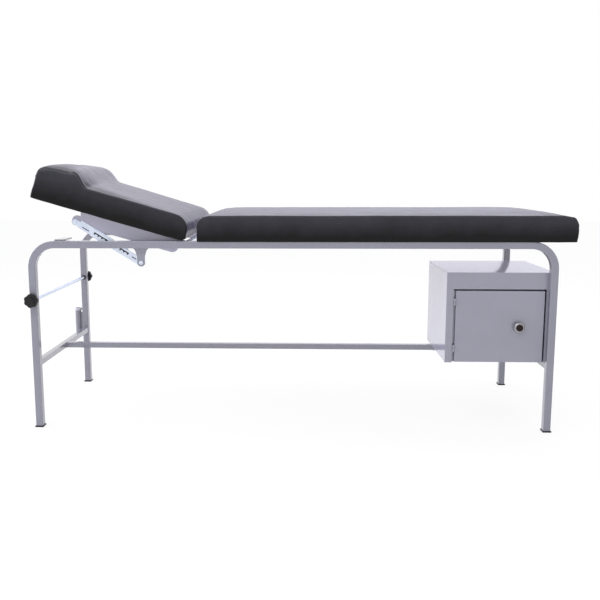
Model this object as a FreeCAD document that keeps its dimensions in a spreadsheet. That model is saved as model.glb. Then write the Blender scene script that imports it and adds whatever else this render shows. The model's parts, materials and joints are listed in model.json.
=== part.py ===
import FreeCAD, Part
import math
import os
import re

import Sketcher
from FreeCAD import Placement, Rotation, Vector

# Examination table: a bent square-tube couch frame, a flat seat section, a backrest that tilts on two
# ratchets, a paper-roll rod between the head legs, a drip-pole socket and a small cabinet.
# Millimetres. X runs from the head (-) to the foot (+), Y from the front (-) to the rear (+), Z is up.
# The origin is on the floor, in the middle between the four legs.

SIZES = {
    # Side frames, each one bent square tube
    "leg_span": 1770,            # head leg centre to foot leg centre
    "leg_width": 565,            # front leg centre to rear leg centre
    "rail_top": 659,             # floor to the top of the rails
    "tube": 25,                  # side of the square tube
    "tube_wall": 1.5,
    "tube_corner": 3,
    "bend_radius": 80,           # to the middle of the tube
    "glide_side": 29,            # plastic foot under each leg
    "glide_thick": 5,
    "glide_plug": 22,
    "glide_fit": 0.2,
    # Low bracing and the tubes that carry the seat
    "brace": 20,
    "brace_wall": 1.5,
    "brace_bottom": 219,
    "seat_bar": 20,
    "seat_bar_wall": 1.5,
    "seat_bar_head": 34,         # from the seat's head end to the first tube's centre
    "seat_bar_middle": 300,      # the middle tube's centre
    "seat_bar_foot": 770,        # the last tube's centre
    # Seat
    "mattress_width": 600,
    "seat_head_end": -314,
    "seat_foot_end": 950,
    "seat_thick": 88,
    "seat_round": 40,            # rounding of the seat's head-end top edge
    "cushion_edge": 10,          # rounding of the other edges
    "board_thick": 12,
    "board_inset": 14,           # from the cushion's side to the board's side
    "board_fit": 0.3,
    "screw_radius": 2.2,
    "screw_head": 4.5,
    "screw_head_thick": 3,
    "screw_bite": 9,             # length of thread in the board
    "screw_fit": 0.1,
    "screw_side": 190,           # from the middle plane to the seat screws
    # Backrest, drawn flat about its pivot and then tilted
    "back_tilt": 16,
    "pivot_x": -366,
    "pivot_drop": 12.5,          # below the top of the rails
    "pivot_rod": 12,
    "spacer_wall": 4,
    "pivot_fit": 0.1,
    "back_rise": 13,             # from the pivot up to the cushion's underside
    "back_reach": 535,           # from the pivot to the head end
    "back_lip": 7,               # from the pivot to the cushion's hinge end
    "back_thick": 84,
    "back_round": 45,            # rounding of the hinge end's top edge
    "back_heel": 24,             # rounding of the hinge end's lower edge
    "pillow_rise": 38,
    "pillow_foot": 366,          # from the pivot to the foot of the pillow's step
    "pillow_step": 36,
    "pillow_fall": 3,            # how much lower the pillow is at the head end
    "pillow_round": 18,
    "plate_thick": 3,
    "plate_drop": 39,            # from the pivot down to the side plate's lower edge
    "plate_head": 370,           # from the pivot to the side plate's head end
    "plate_slant": 12,           # how far the head end leans in at its foot
    "plate_heel": 14,            # from the pivot to the side plate's lower corner
    "plate_round": 22,           # rounding of that corner
    "flange": 25,
    "eye_radius": 15,
    "back_bar_low": 62,          # from the pivot to the cross tubes of the backrest
    "back_bar_high": 300,
    "back_screw_low": 110,
    "back_screw_high": 250,
    # Ratchets
    "arm_reach": 378,            # from the pivot to the upper pin, along the backrest
    "arm_drop": 30,
    "lug_radius": 13,            # from the upper pin to the side plate's tip
    "lug_top": 24,               # from the upper pin up to the shoulder of the tip
    "lug_round": 17,
    "bracket_x": -512,
    "bracket_drop": 51,          # from the underside of the rail to the lower pin
    "bracket_thick": 4,
    "bracket_top": 58,
    "bracket_neck": 27,
    "bracket_flare": 30,
    "bracket_shoulder": 9,
    "bracket_tip": 6,            # half the width of its cut end
    "bracket_weld": 20,          # overlap on the rail's inner face
    "ratchet_bar_thick": 3,
    "ratchet_gap": 0.5,
    "lower_bar_width": 26,
    "upper_bar_width": 23,
    "upper_bar_lift": 5,         # how far its upper edge is raised past its neck
    "upper_bar_eye": 10,
    "upper_bar_neck": 16,        # from the upper pin to where the bar is full width
    "bar_length": 195,
    "slot_width": 4,
    "slot_length": 138,
    "slot_start": 52,
    "slot_offset": 3.5,          # above the middle of the lower bar
    "key_start": 20,             # the short slot beside the lower pin
    "key_length": 18,
    "key_width": 3,
    "groove_start": 30,          # the short slot beside the upper pin
    "groove_length": 37,
    "groove_offset": 2.5,        # below the middle of the upper bar
    "notch_width": 4.5,
    "notch_depth": 6,
    "notch_pitch": 14.5,
    "notch_start": 56,
    "notch_count": 10,
    "rivet_radius": 5,
    "rivet_head": 7,
    "rivet_head_thick": 2.5,
    "rivet_fit": 0.1,
    "tab_length": 31,
    "tab_width": 90,
    "tab_thick": 5,
    "tab_x": -803,
    # Paper-roll rod
    "rod_height": 455,
    "rod_radius": 6,
    "rod_fit": 0.1,
    "bush_wall": 2,
    "bush_collar": 1.5,
    "bush_collar_length": 3,
    "knob_radius": 24,
    "knob_thick": 15,
    "knob_lobes": 7,
    "knob_scallop": 24,          # radius of each hollow side
    "knob_dip": 2.2,             # depth of each hollow side
    "knob_hub_radius": 12,
    "knob_hub": 7,
    "knob_cap_radius": 13,
    "knob_cap": 3,
    "knob_gap": 0.4,
    "knob_floor": 3,             # left between the rod's end and the knob's face
    # Drip-pole socket
    "socket_radius": 12.5,
    "socket_bore": 10,
    "socket_bottom": 213,
    "socket_length": 99.5,
    "socket_floor": 4,
    "socket_offset": 33,
    "web_thick": 6,
    "web_height": 76,
    "web_base": 15.5,            # from the socket's lower end to the web
    "collar_radius": 15.5,
    "collar_height": 10,
    "collar_fit": 0.5,           # how much wider its hole is than the bore
    # Cabinet
    "cab_width": 365,
    "cab_depth": 349,
    "cab_height": 313,
    "sheet": 1.2,
    "stile_left": 24,
    "stile_right": 28,
    "front_rail": 57.5,
    "lip_depth": 12,
    "door_gap": 5.5,
    "hinge_gap": 8,              # between the left stile and the door
    "door_gap_bottom": 2,
    "door_depth": 15,
    "door_bend": 2,              # rounding of the door's folded edges
    "floor_recess": 18,
    "hinge_length": 24,
    "hinge_low": 36.5,           # from the door's lower edge to the lower hinge
    "hinge_top": 26,             # from the door's upper edge to the upper hinge
    "leaf_thick": 1,
    "leaf_width": 13,
    "knuckle_radius": 2.6,
    "knuckle_forward": 2.7,
    "hinge_pin": 1.2,
    "hinge_fit": 0.08,
    "handle_from_right": 86,
    "handle_height": 126,        # above the cabinet's underside
    "handle_neck_radius": 7,
    "handle_neck": 9,
    "handle_radius": 18,
    "handle_thick": 8,
    "handle_flare": 2,
    "handle_edge": 2.5,
    "inlay_radius": 12,
    "inlay_recess": 2,
    "inlay_proud": 1,
    "catch_width": 42,
    "catch_depth": 16,
    "catch_height": 30,
    "catch_gap": 0.5,
    "strike_width": 24,
    "bolt_radius": 3,
    "bolt_head": 5,
    "bolt_head_thick": 4,
    "bolt_fit": 0.1,
    "bolt_length": 9,            # past what it holds
    "leg_bolt_low": 70,          # above the cabinet's underside
    "leg_bolt_top": 22,          # below the upper ends of the stiles
    "floor_bolt_left": 14,
    "floor_bolt_right": 95,
}

SIDES = (("front", -1), ("rear", 1))
ENDS = (("head", -1), ("foot", 1))

doc = FreeCAD.newDocument("examination_table")
sheet = doc.addObject("Spreadsheet::Sheet", "Sizes")
for row, (alias, number) in enumerate(SIZES.items(), start=1):
    sheet.set(f"A{row}", alias)
    sheet.set(f"B{row}", str(number))
    sheet.setAlias(f"B{row}", alias)
derived = doc.addObject("App::VarSet", "Derived")
derived_names = set()
nodes = []


def bound(text):
    """An expression with each named size pointed at its cell or its derived value."""
    def point(match):
        word = match.group(0)
        if word in SIZES:
            return f"Sizes.{word}"
        if word in derived_names:
            return f"Derived.{word}"
        return word
    return re.sub(r"[a-z_]+", point, text)


def derive(name, expression):
    """Name a value that follows from the sizes."""
    derived.addProperty("App::PropertyFloat", name)
    derived.setExpression(name, bound(expression))
    derived_names.add(name)


def bind(thing, **expressions):
    for name, expression in expressions.items():
        thing.setExpression(name, bound(expression))


def place(thing, x="0", y="0", z="0"):
    for axis, expression in zip("xyz", (x, y, z)):
        thing.setExpression(f"Placement.Base.{axis}", bound(expression))


def turn(thing, axis, angle):
    """Turn a piece about its own origin."""
    thing.Placement = Placement(Vector(), Rotation(axis, 1))
    thing.setExpression("Placement.Rotation.Angle", bound(angle))


def node(thing, label):
    """Keep a finished piece as a sub-part of the table."""
    thing.Label = label
    nodes.append(thing)
    return thing


# Plain solids and their combinations

def block(name, size, corner):
    solid = doc.addObject("Part::Box", name)
    bind(solid, Length=size[0], Width=size[1], Height=size[2])
    place(solid, *corner)
    return solid


def round_bar(name, radius, length, start, along="z"):
    """A cylinder that starts at a point and runs along an axis, or against it."""
    directions = {"z": None, "-z": (Vector(1, 0, 0), "180"),
                  "y": (Vector(1, 0, 0), "-90"), "-y": (Vector(1, 0, 0), "90")}
    solid = doc.addObject("Part::Cylinder", name)
    if directions[along]:
        turn(solid, *directions[along])
    bind(solid, Radius=radius, Height=length)
    place(solid, *start)
    return solid


def join(name, pieces):
    solid = doc.addObject("Part::MultiFuse", name)
    solid.Shapes = pieces
    return solid


def take_away(name, base, tools):
    solid = doc.addObject("Part::Cut", name)
    solid.Base = base
    solid.Tool = tools[0] if len(tools) == 1 else join(f"{name}_tools", tools)
    return solid


def round_front(name, base, radius):
    """Round the edges of a piece that lie in the cabinet's front plane."""
    doc.recompute()
    solid = doc.addObject("Part::Fillet", name)
    solid.Base = base
    size = value(radius)
    front = value("cab_front")
    boxes = [edge.BoundBox for edge in base.Shape.Edges]
    solid.Edges = [(i, size, size) for i, box in enumerate(boxes, start=1)
                   if max(abs(box.YMin - front), abs(box.YMax - front)) < 0.01]
    return solid


def group(name, pieces):
    solid = doc.addObject("Part::Compound", name)
    solid.Links = pieces
    return solid


# Sketched bodies

def new_body(name):
    return doc.addObject("PartDesign::Body", name)


def sketch_on(body, plane, x="0", y="0", out="0"):
    """A sketch on one of the body's planes, moved within the plane and out of it."""
    sketch = body.newObject("Sketcher::SketchObject", f"{body.Name}_sketch")
    support = next(o for o in body.Origin.OriginFeatures if o.Role == f"{plane}_Plane")
    sketch.AttachmentSupport = [(support, "")]
    sketch.MapMode = "FlatFace"
    for axis, expression in zip("xyz", (x, y, out)):
        sketch.setExpression(f"AttachmentOffset.Base.{axis}", bound(expression))
    return sketch


def dimension(sketch, kind, *references, to):
    """A dimension that follows an expression."""
    number = sketch.addConstraint(Sketcher.Constraint(kind, *references, 1.0))
    sketch.setExpression(f"Constraints[{number}]", bound(to))


def value(expression):
    """The number that an expression has now, to start a sketch near its final shape."""
    return float(derived.evalExpression(bound(expression)))


def polygon(sketch, points):
    """A closed outline through points given as pairs of expressions."""
    first = sketch.GeometryCount
    count = len(points)
    here = [Vector(value(x), value(y), 0) for x, y in points]
    for i in range(count):
        sketch.addGeometry(Part.LineSegment(here[i], here[(i + 1) % count]), False)
    for i, (x, y) in enumerate(points):
        sketch.addConstraint(Sketcher.Constraint("Coincident", first + i, 2, first + (i + 1) % count, 1))
    for i, (x, y) in enumerate(points):
        for kind, expression in (("DistanceX", x), ("DistanceY", y)):
            number = sketch.addConstraint(
                Sketcher.Constraint(kind, -1, 1, first + i, 1, value(expression)))
            sketch.setExpression(f"Constraints[{number}]", bound(expression))


def rectangle(sketch, width, height):
    """A rectangle about the sketch's own origin."""
    left, right = f"-({width}) / 2", f"({width}) / 2"
    low, high = f"-({height}) / 2", f"({height}) / 2"
    polygon(sketch, [(left, low), (right, low), (right, high), (left, high)])


def circle(sketch, radius, x="0", y="0"):
    centre = Vector(value(x), value(y), 0)
    item = sketch.addGeometry(Part.Circle(centre, Vector(0, 0, 1), value(radius)), False)
    for kind, expression in (("DistanceX", x), ("DistanceY", y)):
        number = sketch.addConstraint(Sketcher.Constraint(kind, -1, 1, item, 3, value(expression)))
        sketch.setExpression(f"Constraints[{number}]", bound(expression))
    dimension(sketch, "Radius", item, to=radius)


def rounded_square(sketch, side, corner):
    """A square with round corners about the sketch's own origin."""
    half, radius = value(side) / 2, value(corner)
    straight = half - radius
    lines, arcs = [], []
    for quarter in range(4):
        spin = Rotation(Vector(0, 0, 1), 90 * quarter)
        start = spin.multVec(Vector(half, -straight, 0))
        end = spin.multVec(Vector(half, straight, 0))
        lines.append(sketch.addGeometry(Part.LineSegment(start, end), False))
        middle = spin.multVec(Vector(straight, straight, 0))
        ring = Part.Circle(middle, Vector(0, 0, 1), radius)
        first = math.radians(90 * quarter)
        arcs.append(sketch.addGeometry(Part.ArcOfCircle(ring, first, first + math.pi / 2), False))
    for quarter in range(4):
        after = lines[(quarter + 1) % 4]
        sketch.addConstraint(Sketcher.Constraint("Tangent", lines[quarter], 2, arcs[quarter], 1))
        sketch.addConstraint(Sketcher.Constraint("Tangent", arcs[quarter], 2, after, 1))
        if quarter:
            sketch.addConstraint(Sketcher.Constraint("Equal", arcs[0], arcs[quarter]))
    sketch.addConstraint(Sketcher.Constraint("Vertical", lines[0]))
    sketch.addConstraint(Sketcher.Constraint("Vertical", lines[2]))
    sketch.addConstraint(Sketcher.Constraint("Horizontal", lines[1]))
    sketch.addConstraint(Sketcher.Constraint("Horizontal", lines[3]))
    dimension(sketch, "Radius", arcs[0], to=corner)
    walls = ((0, "DistanceX", ""), (1, "DistanceY", ""), (2, "DistanceX", "-"), (3, "DistanceY", "-"))
    for line, kind, sign in walls:
        number = sketch.addConstraint(
            Sketcher.Constraint(kind, -1, 1, lines[line], 1, half if not sign else -half))
        sketch.setExpression(f"Constraints[{number}]", bound(f"{sign}({side}) / 2"))


def pad(body, sketch, length, both_ways=False, backwards=False):
    feature = body.newObject("PartDesign::Pad", f"{body.Name}_pad")
    feature.Profile = sketch
    feature.Midplane = both_ways
    feature.Reversed = backwards
    bind(feature, Length=length)
    return feature


def pocket(body, sketch, length=None, both_ways=False, backwards=False):
    """A cut to a depth, or through everything where no depth is given."""
    doc.recompute()
    before = body.Shape.Volume
    feature = body.newObject("PartDesign::Pocket", f"{body.Name}_pocket")
    feature.Profile = sketch
    feature.Midplane = both_ways
    feature.Reversed = backwards
    if length is None:
        feature.Type = "ThroughAll"
    else:
        bind(feature, Length=length)
    doc.recompute()
    if body.Shape.Volume > before - 1:
        raise ValueError(f"a pocket of {body.Name} cuts nothing")
    return feature


def fillet(body, radius, chosen):
    """Round the edges of the body's last feature whose middle passes a test."""
    doc.recompute()
    base = body.Tip
    names = [f"Edge{i}" for i, edge in enumerate(base.Shape.Edges, start=1) if chosen(edge)]
    feature = body.newObject("PartDesign::Fillet", f"{body.Name}_fillet")
    feature.Base = (base, names)
    bind(feature, Radius=radius)
    doc.recompute()
    return feature


def across_at(x, z):
    """A test for an edge that runs across the table at a place of a piece's profile."""
    spot = Vector(value(x), 0, value(z))
    return lambda edge: (edge.CenterOfMass - spot).Length < 0.1


def square_tube(name, plane, side, wall, length):
    """A straight square tube about its own middle."""
    body = new_body(name)
    section = sketch_on(body, plane)
    rectangle(section, side, side)
    rectangle(section, f"{side} - 2 * {wall}", f"{side} - 2 * {wall}")
    pad(body, section, length, both_ways=True)
    return body


# Values that several pieces share
derive("rail_inner", "leg_width / 2 - tube / 2")
derive("rail_outer", "leg_width / 2 + tube / 2")
derive("rail_bottom", "rail_top - tube")
derive("brace_middle", "brace_bottom + brace / 2")
derive("seat_bar_z", "rail_top - seat_bar / 2")
derive("seat_bar_head_x", "seat_head_end + seat_bar_head")
derive("seat_length", "seat_foot_end - seat_head_end")
derive("seat_middle", "(seat_foot_end + seat_head_end) / 2")
derive("board_width", "mattress_width - 2 * board_inset")
derive("pivot_z", "rail_top - pivot_drop")
derive("heel_inset", "back_heel + board_inset")
derive("lower_bar_y", "rail_inner - bracket_thick - ratchet_gap - ratchet_bar_thick / 2")
derive("upper_bar_y", "lower_bar_y - ratchet_bar_thick - ratchet_gap")
derive("plate_y", "upper_bar_y - ratchet_bar_thick / 2 - ratchet_gap - plate_thick / 2")
derive("plate_inner", "plate_y - plate_thick / 2")
derive("upper_pin_x", "pivot_x - arm_reach * cos(back_tilt) - arm_drop * sin(back_tilt)")
derive("upper_pin_z", "pivot_z + arm_reach * sin(back_tilt) - arm_drop * cos(back_tilt)")
derive("lower_pin_z", "rail_bottom - bracket_drop")
derive("ratchet_angle", "atan2(upper_pin_z - lower_pin_z; bracket_x - upper_pin_x)")
derive("leg_x", "leg_span / 2")
derive("cab_right", "leg_x + tube / 2")
derive("cab_left", "cab_right - cab_width")
derive("cab_front", "-rail_inner")
derive("cab_bottom", "brace_bottom + brace")
derive("cab_top", "cab_bottom + cab_height")
derive("leg_bolt_low_z", "cab_bottom + leg_bolt_low")
derive("leg_bolt_high_z", "cab_bottom + cab_height - front_rail - leg_bolt_top")
derive("door_left", "cab_left + stile_left + hinge_gap")
derive("door_right", "cab_right - stile_right - door_gap")
derive("door_bottom", "cab_bottom + door_gap_bottom")
derive("door_height", "cab_height - front_rail - door_gap - door_gap_bottom")
derive("hinge_x", "cab_left + stile_left + hinge_gap / 2")
derive("hinge_y", "cab_front - knuckle_forward")
derive("handle_x", "door_right - handle_from_right")
derive("handle_z", "cab_bottom + handle_height")
doc.recompute()

Y_AXIS = Vector(0, 1, 0)


def on_backrest(body):
    """Set a piece that is drawn about the pivot on the tilted backrest."""
    turn(body, Y_AXIS, "back_tilt")


# Side frames: an inverted U of bent square tube, with holes for the rod and for the cabinet's bolts

def side_frame(side, sign):
    body = new_body(f"side_frame_{side}")
    path = sketch_on(body, "XZ")
    reach = value("leg_span / 2")
    top = value("rail_top - tube / 2 - glide_thick")
    radius = value("bend_radius")
    left_ring = Part.Circle(Vector(radius - reach, top - radius, 0), Vector(0, 0, 1), radius)
    right_ring = Part.Circle(Vector(reach - radius, top - radius, 0), Vector(0, 0, 1), radius)
    path.addGeometry([
        Part.LineSegment(Vector(-reach, 0, 0), Vector(-reach, top - radius, 0)),
        Part.ArcOfCircle(left_ring, math.pi / 2, math.pi),
        Part.LineSegment(Vector(radius - reach, top, 0), Vector(reach - radius, top, 0)),
        Part.ArcOfCircle(right_ring, 0, math.pi / 2),
        Part.LineSegment(Vector(reach, top - radius, 0), Vector(reach, 0, 0)),
    ], False)
    for first, first_end, second, second_end in ((0, 2, 1, 2), (1, 1, 2, 1), (2, 2, 3, 2), (3, 1, 4, 1)):
        path.addConstraint(Sketcher.Constraint("Tangent", first, first_end, second, second_end))
    path.addConstraint(Sketcher.Constraint("Vertical", 0))
    path.addConstraint(Sketcher.Constraint("Horizontal", 2))
    path.addConstraint(Sketcher.Constraint("Vertical", 4))
    path.addConstraint(Sketcher.Constraint("Equal", 1, 3))
    path.addConstraint(Sketcher.Constraint("Symmetric", 0, 1, 4, 2, -1, 1))
    for kind, references, expression in (
        ("Radius", (1,), "bend_radius"),
        ("DistanceX", (0, 1, 4, 2), "leg_span"),
        ("DistanceY", (-1, 1, 2, 1), "rail_top - tube / 2 - glide_thick"),
    ):
        number = path.addConstraint(Sketcher.Constraint(kind, *references, value(expression)))
        path.setExpression(f"Constraints[{number}]", bound(expression))
    section = sketch_on(body, "XY", x="-leg_x")
    rounded_square(section, "tube", "tube_corner")
    rounded_square(section, "tube - 2 * tube_wall", "max(tube_corner - tube_wall; 0.3)")
    doc.recompute()
    pipe = body.newObject("PartDesign::AdditivePipe", f"{body.Name}_pipe")
    pipe.Profile = section
    pipe.Spine = path
    rod_hole = sketch_on(body, "XZ", x="-leg_x", y="rod_height - glide_thick")
    circle(rod_hole, "rod_radius + bush_wall + rod_fit")
    pocket(body, rod_hole, both_ways=True)
    if side == "front":
        for height in ("leg_bolt_low_z", "leg_bolt_high_z"):
            bolt_hole = sketch_on(body, "XZ", x="leg_x", y=f"{height} - glide_thick")
            circle(bolt_hole, "bolt_radius + bolt_fit")
            pocket(body, bolt_hole)
    place(body, y=f"{sign} * leg_width / 2", z="glide_thick")
    return node(body, f"side_frame_{side}")


def glide(end, end_sign, side, sign):
    """A plastic foot: a square flange on the floor with a plug up the tube."""
    body = new_body(f"glide_{end}_{side}")
    flange = sketch_on(body, "XY")
    rectangle(flange, "glide_side", "glide_side")
    pad(body, flange, "glide_thick")
    plug = sketch_on(body, "XY", out="glide_thick")
    inside = "tube - 2 * tube_wall - 2 * glide_fit"
    rounded_square(plug, inside, "max(tube_corner - tube_wall; 0.3)")
    pad(body, plug, "glide_plug")
    place(body, x=f"{end_sign} * leg_x", y=f"{sign} * leg_width / 2")
    return node(body, f"glide_{end}_{side}")


for side, sign in SIDES:
    side_frame(side, sign)
    for end, end_sign in ENDS:
        glide(end, end_sign, side, sign)


# Low bracing: a cross tube at each end and a stretcher between them

for end, end_sign in ENDS:
    cross = square_tube(f"crossbar_{end}", "XZ", "brace", "brace_wall", "leg_width - tube")
    place(cross, x=f"{end_sign} * leg_x", z="brace_middle")
    node(cross, f"crossbar_{end}")

stretcher = square_tube("stretcher", "YZ", "brace", "brace_wall", "leg_span - brace")
stretcher_holes = sketch_on(stretcher, "XY")
for spot in ("cab_left + floor_bolt_left", "cab_right - floor_bolt_right"):
    circle(stretcher_holes, "bolt_radius + bolt_fit", x=spot)
pocket(stretcher, stretcher_holes, both_ways=True)
place(stretcher, z="brace_middle")
node(stretcher, "stretcher")


# Seat: cross tubes level with the rails, a plywood board on them, and the cushion wrapped round the board

SEAT_BARS = (("head", "seat_bar_head_x"), ("middle", "seat_bar_middle"), ("foot", "seat_bar_foot"))

for spot, x in SEAT_BARS:
    bar = square_tube(f"seat_crossbar_{spot}", "XZ", "seat_bar", "seat_bar_wall", "leg_width - tube")
    holes = sketch_on(bar, "XY")
    for sign in (-1, 1):
        circle(holes, "screw_radius + screw_fit", y=f"{sign} * screw_side")
    pocket(bar, holes, both_ways=True)
    place(bar, x=x, z="seat_bar_z")
    node(bar, f"seat_crossbar_{spot}")

seat_board = new_body("seat_board")
seat_board_plan = sketch_on(seat_board, "XY", x="seat_middle")
rectangle(seat_board_plan, "seat_length - 2 * board_inset", "board_width")
pad(seat_board, seat_board_plan, "board_thick")
seat_board_holes = sketch_on(seat_board, "XY")
for spot, x in SEAT_BARS:
    for sign in (-1, 1):
        circle(seat_board_holes, "screw_radius + screw_fit", x=x, y=f"{sign} * screw_side")
pocket(seat_board, seat_board_holes, "screw_bite + screw_fit", backwards=True)
place(seat_board, z="rail_top")
node(seat_board, "seat_board")


def board_recess(body, middle, length, underside):
    """The hollow under a cushion that takes its board."""
    plan = sketch_on(body, "XY", x=middle, out=underside)
    rectangle(plan, f"{length} + 2 * board_fit", "board_width + 2 * board_fit")
    pocket(body, plan, "board_thick + board_fit", backwards=True)


seat_cushion = new_body("seat_cushion")
seat_plan = sketch_on(seat_cushion, "XY", x="seat_middle")
rectangle(seat_plan, "seat_length", "mattress_width")
pad(seat_cushion, seat_plan, "seat_thick")
board_recess(seat_cushion, "seat_middle", "seat_length - 2 * board_inset", "0")
seat_top = value("seat_thick")
seat_head = value("seat_head_end")
seat_foot = value("seat_foot_end")
fillet(seat_cushion, "seat_round",
       lambda e: abs(e.CenterOfMass.z - seat_top) < 0.1 and abs(e.CenterOfMass.x - seat_head) < 0.1)
fillet(seat_cushion, "cushion_edge",
       lambda e: abs(e.CenterOfMass.z - seat_top) < 0.1 and abs(e.CenterOfMass.x - seat_foot) < 0.1)
place(seat_cushion, z="rail_top")
node(seat_cushion, "seat_cushion")


def screw(name, x, y, under, through):
    """A wood screw from below: a head under what it holds and a thread in the board."""
    head = round_bar(f"{name}_head", "screw_head", "screw_head_thick", (x, y, under), "-z")
    shank = round_bar(f"{name}_shank", "screw_radius", f"{through} + screw_bite", (x, y, under))
    return join(name, [head, shank])


seat_screws = []
for spot, x in SEAT_BARS:
    for side, sign in SIDES:
        seat_screws.append(screw(f"seat_screw_{spot}_{side}", x, f"{sign} * screw_side",
                                 "rail_top - seat_bar", "seat_bar"))
node(group("seat_screws", seat_screws), "seat_screws")


# Backrest pivot: a rod welded between the rails, with a spacer outside each side plate

pivot_rod = round_bar("back_pivot_rod", "pivot_rod / 2", "2 * rail_inner",
                      ("pivot_x", "-rail_inner", "pivot_z"), "y")
node(pivot_rod, "back_pivot_rod")

for side, sign in SIDES:
    direction = "y" if sign < 0 else "-y"
    start = ("pivot_x", f"{sign} * rail_inner", "pivot_z")
    length = "rail_inner - plate_y - plate_thick / 2 - ratchet_gap"
    sleeve = round_bar(f"spacer_{side}_sleeve", "pivot_rod / 2 + spacer_wall", length, start, direction)
    bore = round_bar(f"spacer_{side}_bore", "pivot_rod / 2 + pivot_fit", length, start, direction)
    node(take_away(f"pivot_spacer_{side}", sleeve, [bore]), f"pivot_spacer_{side}")


# Backrest frame: two angle-shaped side plates, two cross tubes, a board and a cushion with a raised pillow

def side_plate(side, sign):
    body = new_body(f"back_plate_{side}")
    outline = sketch_on(body, "XZ")
    polygon(outline, [
        ("-plate_head", "back_rise"), ("-plate_head + plate_slant", "-plate_drop"),
        ("-plate_heel", "-plate_drop"), ("-plate_heel", "-eye_radius"),
        ("eye_radius", "-eye_radius"), ("eye_radius", "back_rise"),
    ])
    pad(body, outline, "plate_thick", both_ways=True)
    fillet(body, "min(plate_round; plate_drop - eye_radius - 1)", across_at("-plate_heel", "-plate_drop"))
    fillet(body, "eye_radius - 1", across_at("eye_radius", "-eye_radius"))
    lug = sketch_on(body, "XZ")
    tip = "-arm_reach - lug_radius"
    root = "-plate_head + 2 * plate_slant"
    polygon(lug, [
        (tip, "-arm_drop + lug_top"), (tip, "-arm_drop - lug_radius"),
        (root, "-plate_drop"), (root, "-arm_drop + lug_top"),
    ])
    pad(body, lug, "plate_thick", both_ways=True)
    fillet(body, "lug_round", across_at(tip, "-arm_drop + lug_top"))
    fillet(body, "lug_radius - 1", across_at(tip, "-arm_drop - lug_radius"))
    flange_middle = f"{sign} * (plate_thick / 2 + flange / 2)"
    flange_plan = sketch_on(body, "XZ", x="-(plate_head + back_bar_low) / 2 + eye_radius",
                            y="back_rise - plate_thick / 2", out=flange_middle)
    rectangle(flange_plan, "plate_head - back_bar_low", "plate_thick")
    pad(body, flange_plan, "flange", both_ways=True)
    pivot_hole = sketch_on(body, "XZ")
    circle(pivot_hole, "pivot_rod / 2 + pivot_fit")
    pocket(body, pivot_hole, both_ways=True)
    pin_hole = sketch_on(body, "XZ", x="-arm_reach", y="-arm_drop")
    circle(pin_hole, "rivet_radius + rivet_fit")
    pocket(body, pin_hole, both_ways=True)
    screw_holes = sketch_on(body, "XY", out="back_rise")
    for spot in ("back_screw_low", "back_screw_high"):
        circle(screw_holes, "screw_radius + screw_fit", x=f"-{spot}",
               y=f"-{sign} * (plate_thick / 2 + flange / 2)")
    pocket(body, screw_holes, "plate_thick")
    on_backrest(body)
    place(body, "pivot_x", f"{sign} * plate_y", "pivot_z")
    return node(body, f"back_plate_{side}")


for side, sign in SIDES:
    side_plate(side, sign)

for spot, reach in (("low", "back_bar_low"), ("high", "back_bar_high")):
    bar = square_tube(f"back_crossbar_{spot}", "XZ", "seat_bar", "seat_bar_wall", "2 * plate_inner")
    drop = "(back_rise - plate_thick - seat_bar / 2)"
    on_backrest(bar)
    place(bar, f"pivot_x - {reach} * cos(back_tilt) + {drop} * sin(back_tilt)", "0",
          f"pivot_z + {reach} * sin(back_tilt) + {drop} * cos(back_tilt)")
    node(bar, f"back_crossbar_{spot}")

BACK_LENGTH = "(back_reach + back_lip - heel_inset - board_inset)"
BACK_MIDDLE = "(back_lip - heel_inset - back_reach + board_inset) / 2"
BACK_SCREW_Y = "(plate_inner - flange / 2)"

back_board = new_body("back_board")
back_board_plan = sketch_on(back_board, "XY", x=BACK_MIDDLE, out="back_rise")
rectangle(back_board_plan, BACK_LENGTH, "board_width")
pad(back_board, back_board_plan, "board_thick")
back_board_holes = sketch_on(back_board, "XY", out="back_rise")
for reach in ("back_screw_low", "back_screw_high"):
    for sign in (-1, 1):
        circle(back_board_holes, "screw_radius + screw_fit", x=f"-{reach}", y=f"{sign} * {BACK_SCREW_Y}")
pocket(back_board, back_board_holes, "screw_bite + screw_fit", backwards=True)
on_backrest(back_board)
place(back_board, "pivot_x", "0", "pivot_z")
node(back_board, "back_board")

back_cushion = new_body("back_cushion")
back_profile = sketch_on(back_cushion, "XZ")
pillow_top = "back_rise + back_thick + pillow_rise"
polygon(back_profile, [
    ("-back_reach", "back_rise"), ("back_lip", "back_rise"), ("back_lip", "back_rise + back_thick"),
    ("-pillow_foot", "back_rise + back_thick"), ("-pillow_foot - pillow_step", pillow_top),
    ("-back_reach", f"{pillow_top} - pillow_fall"),
])
pad(back_cushion, back_profile, "mattress_width", both_ways=True)
board_recess(back_cushion, BACK_MIDDLE, BACK_LENGTH, "back_rise")


fillet(back_cushion, "back_round", across_at("back_lip", "back_rise + back_thick"))
fillet(back_cushion, "back_heel", across_at("back_lip", "back_rise"))
fillet(back_cushion, "pillow_round", across_at("-pillow_foot", "back_rise + back_thick"))
fillet(back_cushion, "pillow_round", across_at("-pillow_foot - pillow_step", pillow_top))
fillet(back_cushion, "pillow_round", across_at("-back_reach", f"{pillow_top} - pillow_fall"))
on_backrest(back_cushion)
place(back_cushion, "pivot_x", "0", "pivot_z")
node(back_cushion, "back_cushion")

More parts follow.
